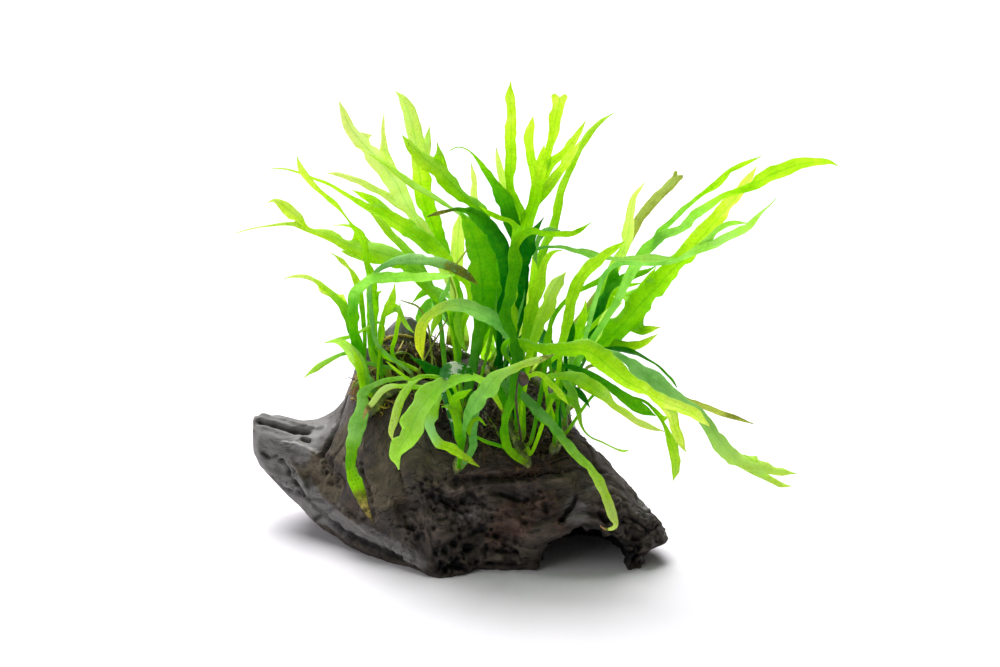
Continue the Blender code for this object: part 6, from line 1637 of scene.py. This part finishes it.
RUST_RUNNERS = [
    (1.2, [(428, 343), (434, 338), (440, 342)]), (0.35, [(483, 431), (484, 448), (484, 466)]),
    (0.4, [(537, 457), (545, 461), (553, 471)]), (0.35, [(519, 424), (525, 432), (531, 441)]),
    (0.35, [(500, 446), (512, 450), (520, 458)]), (0.35, [(556, 440), (566, 450), (572, 463)]),
]
moss_piece("moss_brown", MOSS_TUFTS, 800, (3, 7), (0.22, 0.45),
           [(0.35, (0.018, 0.010, 0.002)), (0.65, (0.210, 0.128, 0.014))], 21)
moss_piece("moss_gold", MOSS_TUFTS, 130, (4, 9), (0.25, 0.50),
           [(0.35, (0.150, 0.105, 0.010)), (0.65, (0.520, 0.400, 0.035))], 22, rise=0.8, thick=GOLD_RUNNERS)
moss_piece("moss_green", MOSS_TUFTS, 90, (4, 9), (0.25, 0.50),
           [(0.35, (0.070, 0.120, 0.008)), (0.65, (0.270, 0.400, 0.020))], 23, rise=0.9, thick=GREEN_RUNNERS)
moss_piece("moss_at_roots", ROOT_MOSS, 700, (3, 8), (0.18, 0.36),
           [(0.35, (0.010, 0.008, 0.003)), (0.60, (0.110, 0.082, 0.012)), (0.75, (0.270, 0.240, 0.036))], 24)
moss_piece("moss_tan", TAN_TUFTS, 320, (2, 5), (0.14, 0.26),
           [(0.35, (0.200, 0.110, 0.025)), (0.65, (0.520, 0.330, 0.090))], 25, rise=0.7)
moss_piece("moss_rust", TAN_TUFTS, 20, (2, 4), (0.2, 0.3),
           [(0.35, (0.050, 0.026, 0.008)), (0.65, (0.230, 0.110, 0.025))], 26, rise=0.7, thick=RUST_RUNNERS)

# Root hairs creep from the stems over the wood.
HAIRS = 420
HAIR_STEP = 1.5  # millimetres
HAIR_TONES = [(0.35, (0.012, 0.007, 0.004)), (0.60, (0.060, 0.032, 0.014)), (0.78, (0.230, 0.130, 0.050))]
chance = random.Random(31)
hairs = []
for _ in range(HAIRS):
    line = lines[chance.choice(("rhizome_left", "rhizome_centre", "rhizome_right", "rhizome_centre"))]
    place, normal = line[chance.randrange(len(line))]
    heading = Vector(chance.gauss(0, 1) for _ in range(3))
    heading.z -= 0.7
    heading = (heading - normal * heading.dot(normal)).normalized()
    radius = chance.uniform(0.10, 0.26) * MM
    steps = chance.randrange(7, 20)
    off = chance.uniform(0.2, 1.4) * MM
    hair = []
    for step in range(steps):
        hair.append((place, radius * (1 - 0.5 * step / steps)))
        heading = (heading + Vector(chance.gauss(0, 1) for _ in range(3)) * 0.28).normalized()
        ahead = place + heading * HAIR_STEP * MM
        hit, normal, _, _ = wood_surface.find_nearest(ahead)
        lift = off * math.sin(math.pi * step / steps) + 0.1 * MM
        place = ahead.lerp(hit + normal * lift, 0.7)
        heading = (heading - normal * heading.dot(normal) * 0.8).normalized()
    hairs.append(hair)
# A dead, rolled up bud hangs on a dry stalk in front of the middle stem, as (column, row, how far away,
# radius in millimetres).
BUD = [(516, 400, -34, 0.4), (519, 376, -38, 0.4), (522, 373, -40, 0.9), (523, 376, -41, 1.7),
       (524, 380, -41, 2.0), (523, 384, -41, 1.6), (523, 386, -41, 0.7)]
seat, out = seat_of(lines["rhizome_centre"], 0.2, sketch_point(520, 380, -34))
bud = [(*seat, 0.5), (*out, 0.45)]
bud += [(*sketch_point(col, row, away), radius) for col, row, away, radius in BUD]
hairs.append([(Vector(point[:3]), point[3] * MM) for point in smooth_curve(bud, 4)])
roots = strands("root_hairs", hairs, 1)
fit(roots, mottled("root hairs", 300, HAIR_TONES, 0.6, 0.1 * MM, detail=3, rough=0.55))

# ---------------------------------------------------------------- studio
# A white floor under soft light from all round, with a large lamp above and behind the plant, and a
# weak one at the left.
FLOOR_TONE = (0.865, 0.838, 0.885)  # a little red and blue, against the green light off the leaves
bpy.ops.mesh.primitive_plane_add(size=8, location=(0, 0, 0))
floor = bpy.context.object
floor.name = "floor"
finish = Finish("white floor")
finish.shade("Base Color", FLOOR_TONE)
finish.shade("Roughness", 0.9)
floor.data.materials.append(finish.material)

world = bpy.data.worlds.new("white studio")
world.use_nodes = True
world.node_tree.nodes["Background"].inputs["Color"].default_value = (1, 1, 1, 1)
world.node_tree.nodes["Background"].inputs["Strength"].default_value = 0.10
bpy.context.scene.world = world
bpy.context.scene.view_settings.view_transform = "Standard"


def soft_lamp(name, towards, strength, softness):
    """A lamp far away in this direction, as wide as softness in degrees."""
    lamp = bpy.data.lights.new(name, "SUN")
    lamp.energy = strength
    lamp.angle = math.radians(softness)
    thing = bpy.data.objects.new(name, lamp)
    thing.rotation_euler = Vector(towards).to_track_quat("Z", "Y").to_euler()
    bpy.context.scene.collection.objects.link(thing)


soft_lamp("lamp_above", (-0.24, 0.68, 1.0), 6.0, 50)
soft_lamp("lamp_left", (-1.0, -0.50, 0.50), 0.85, 55)
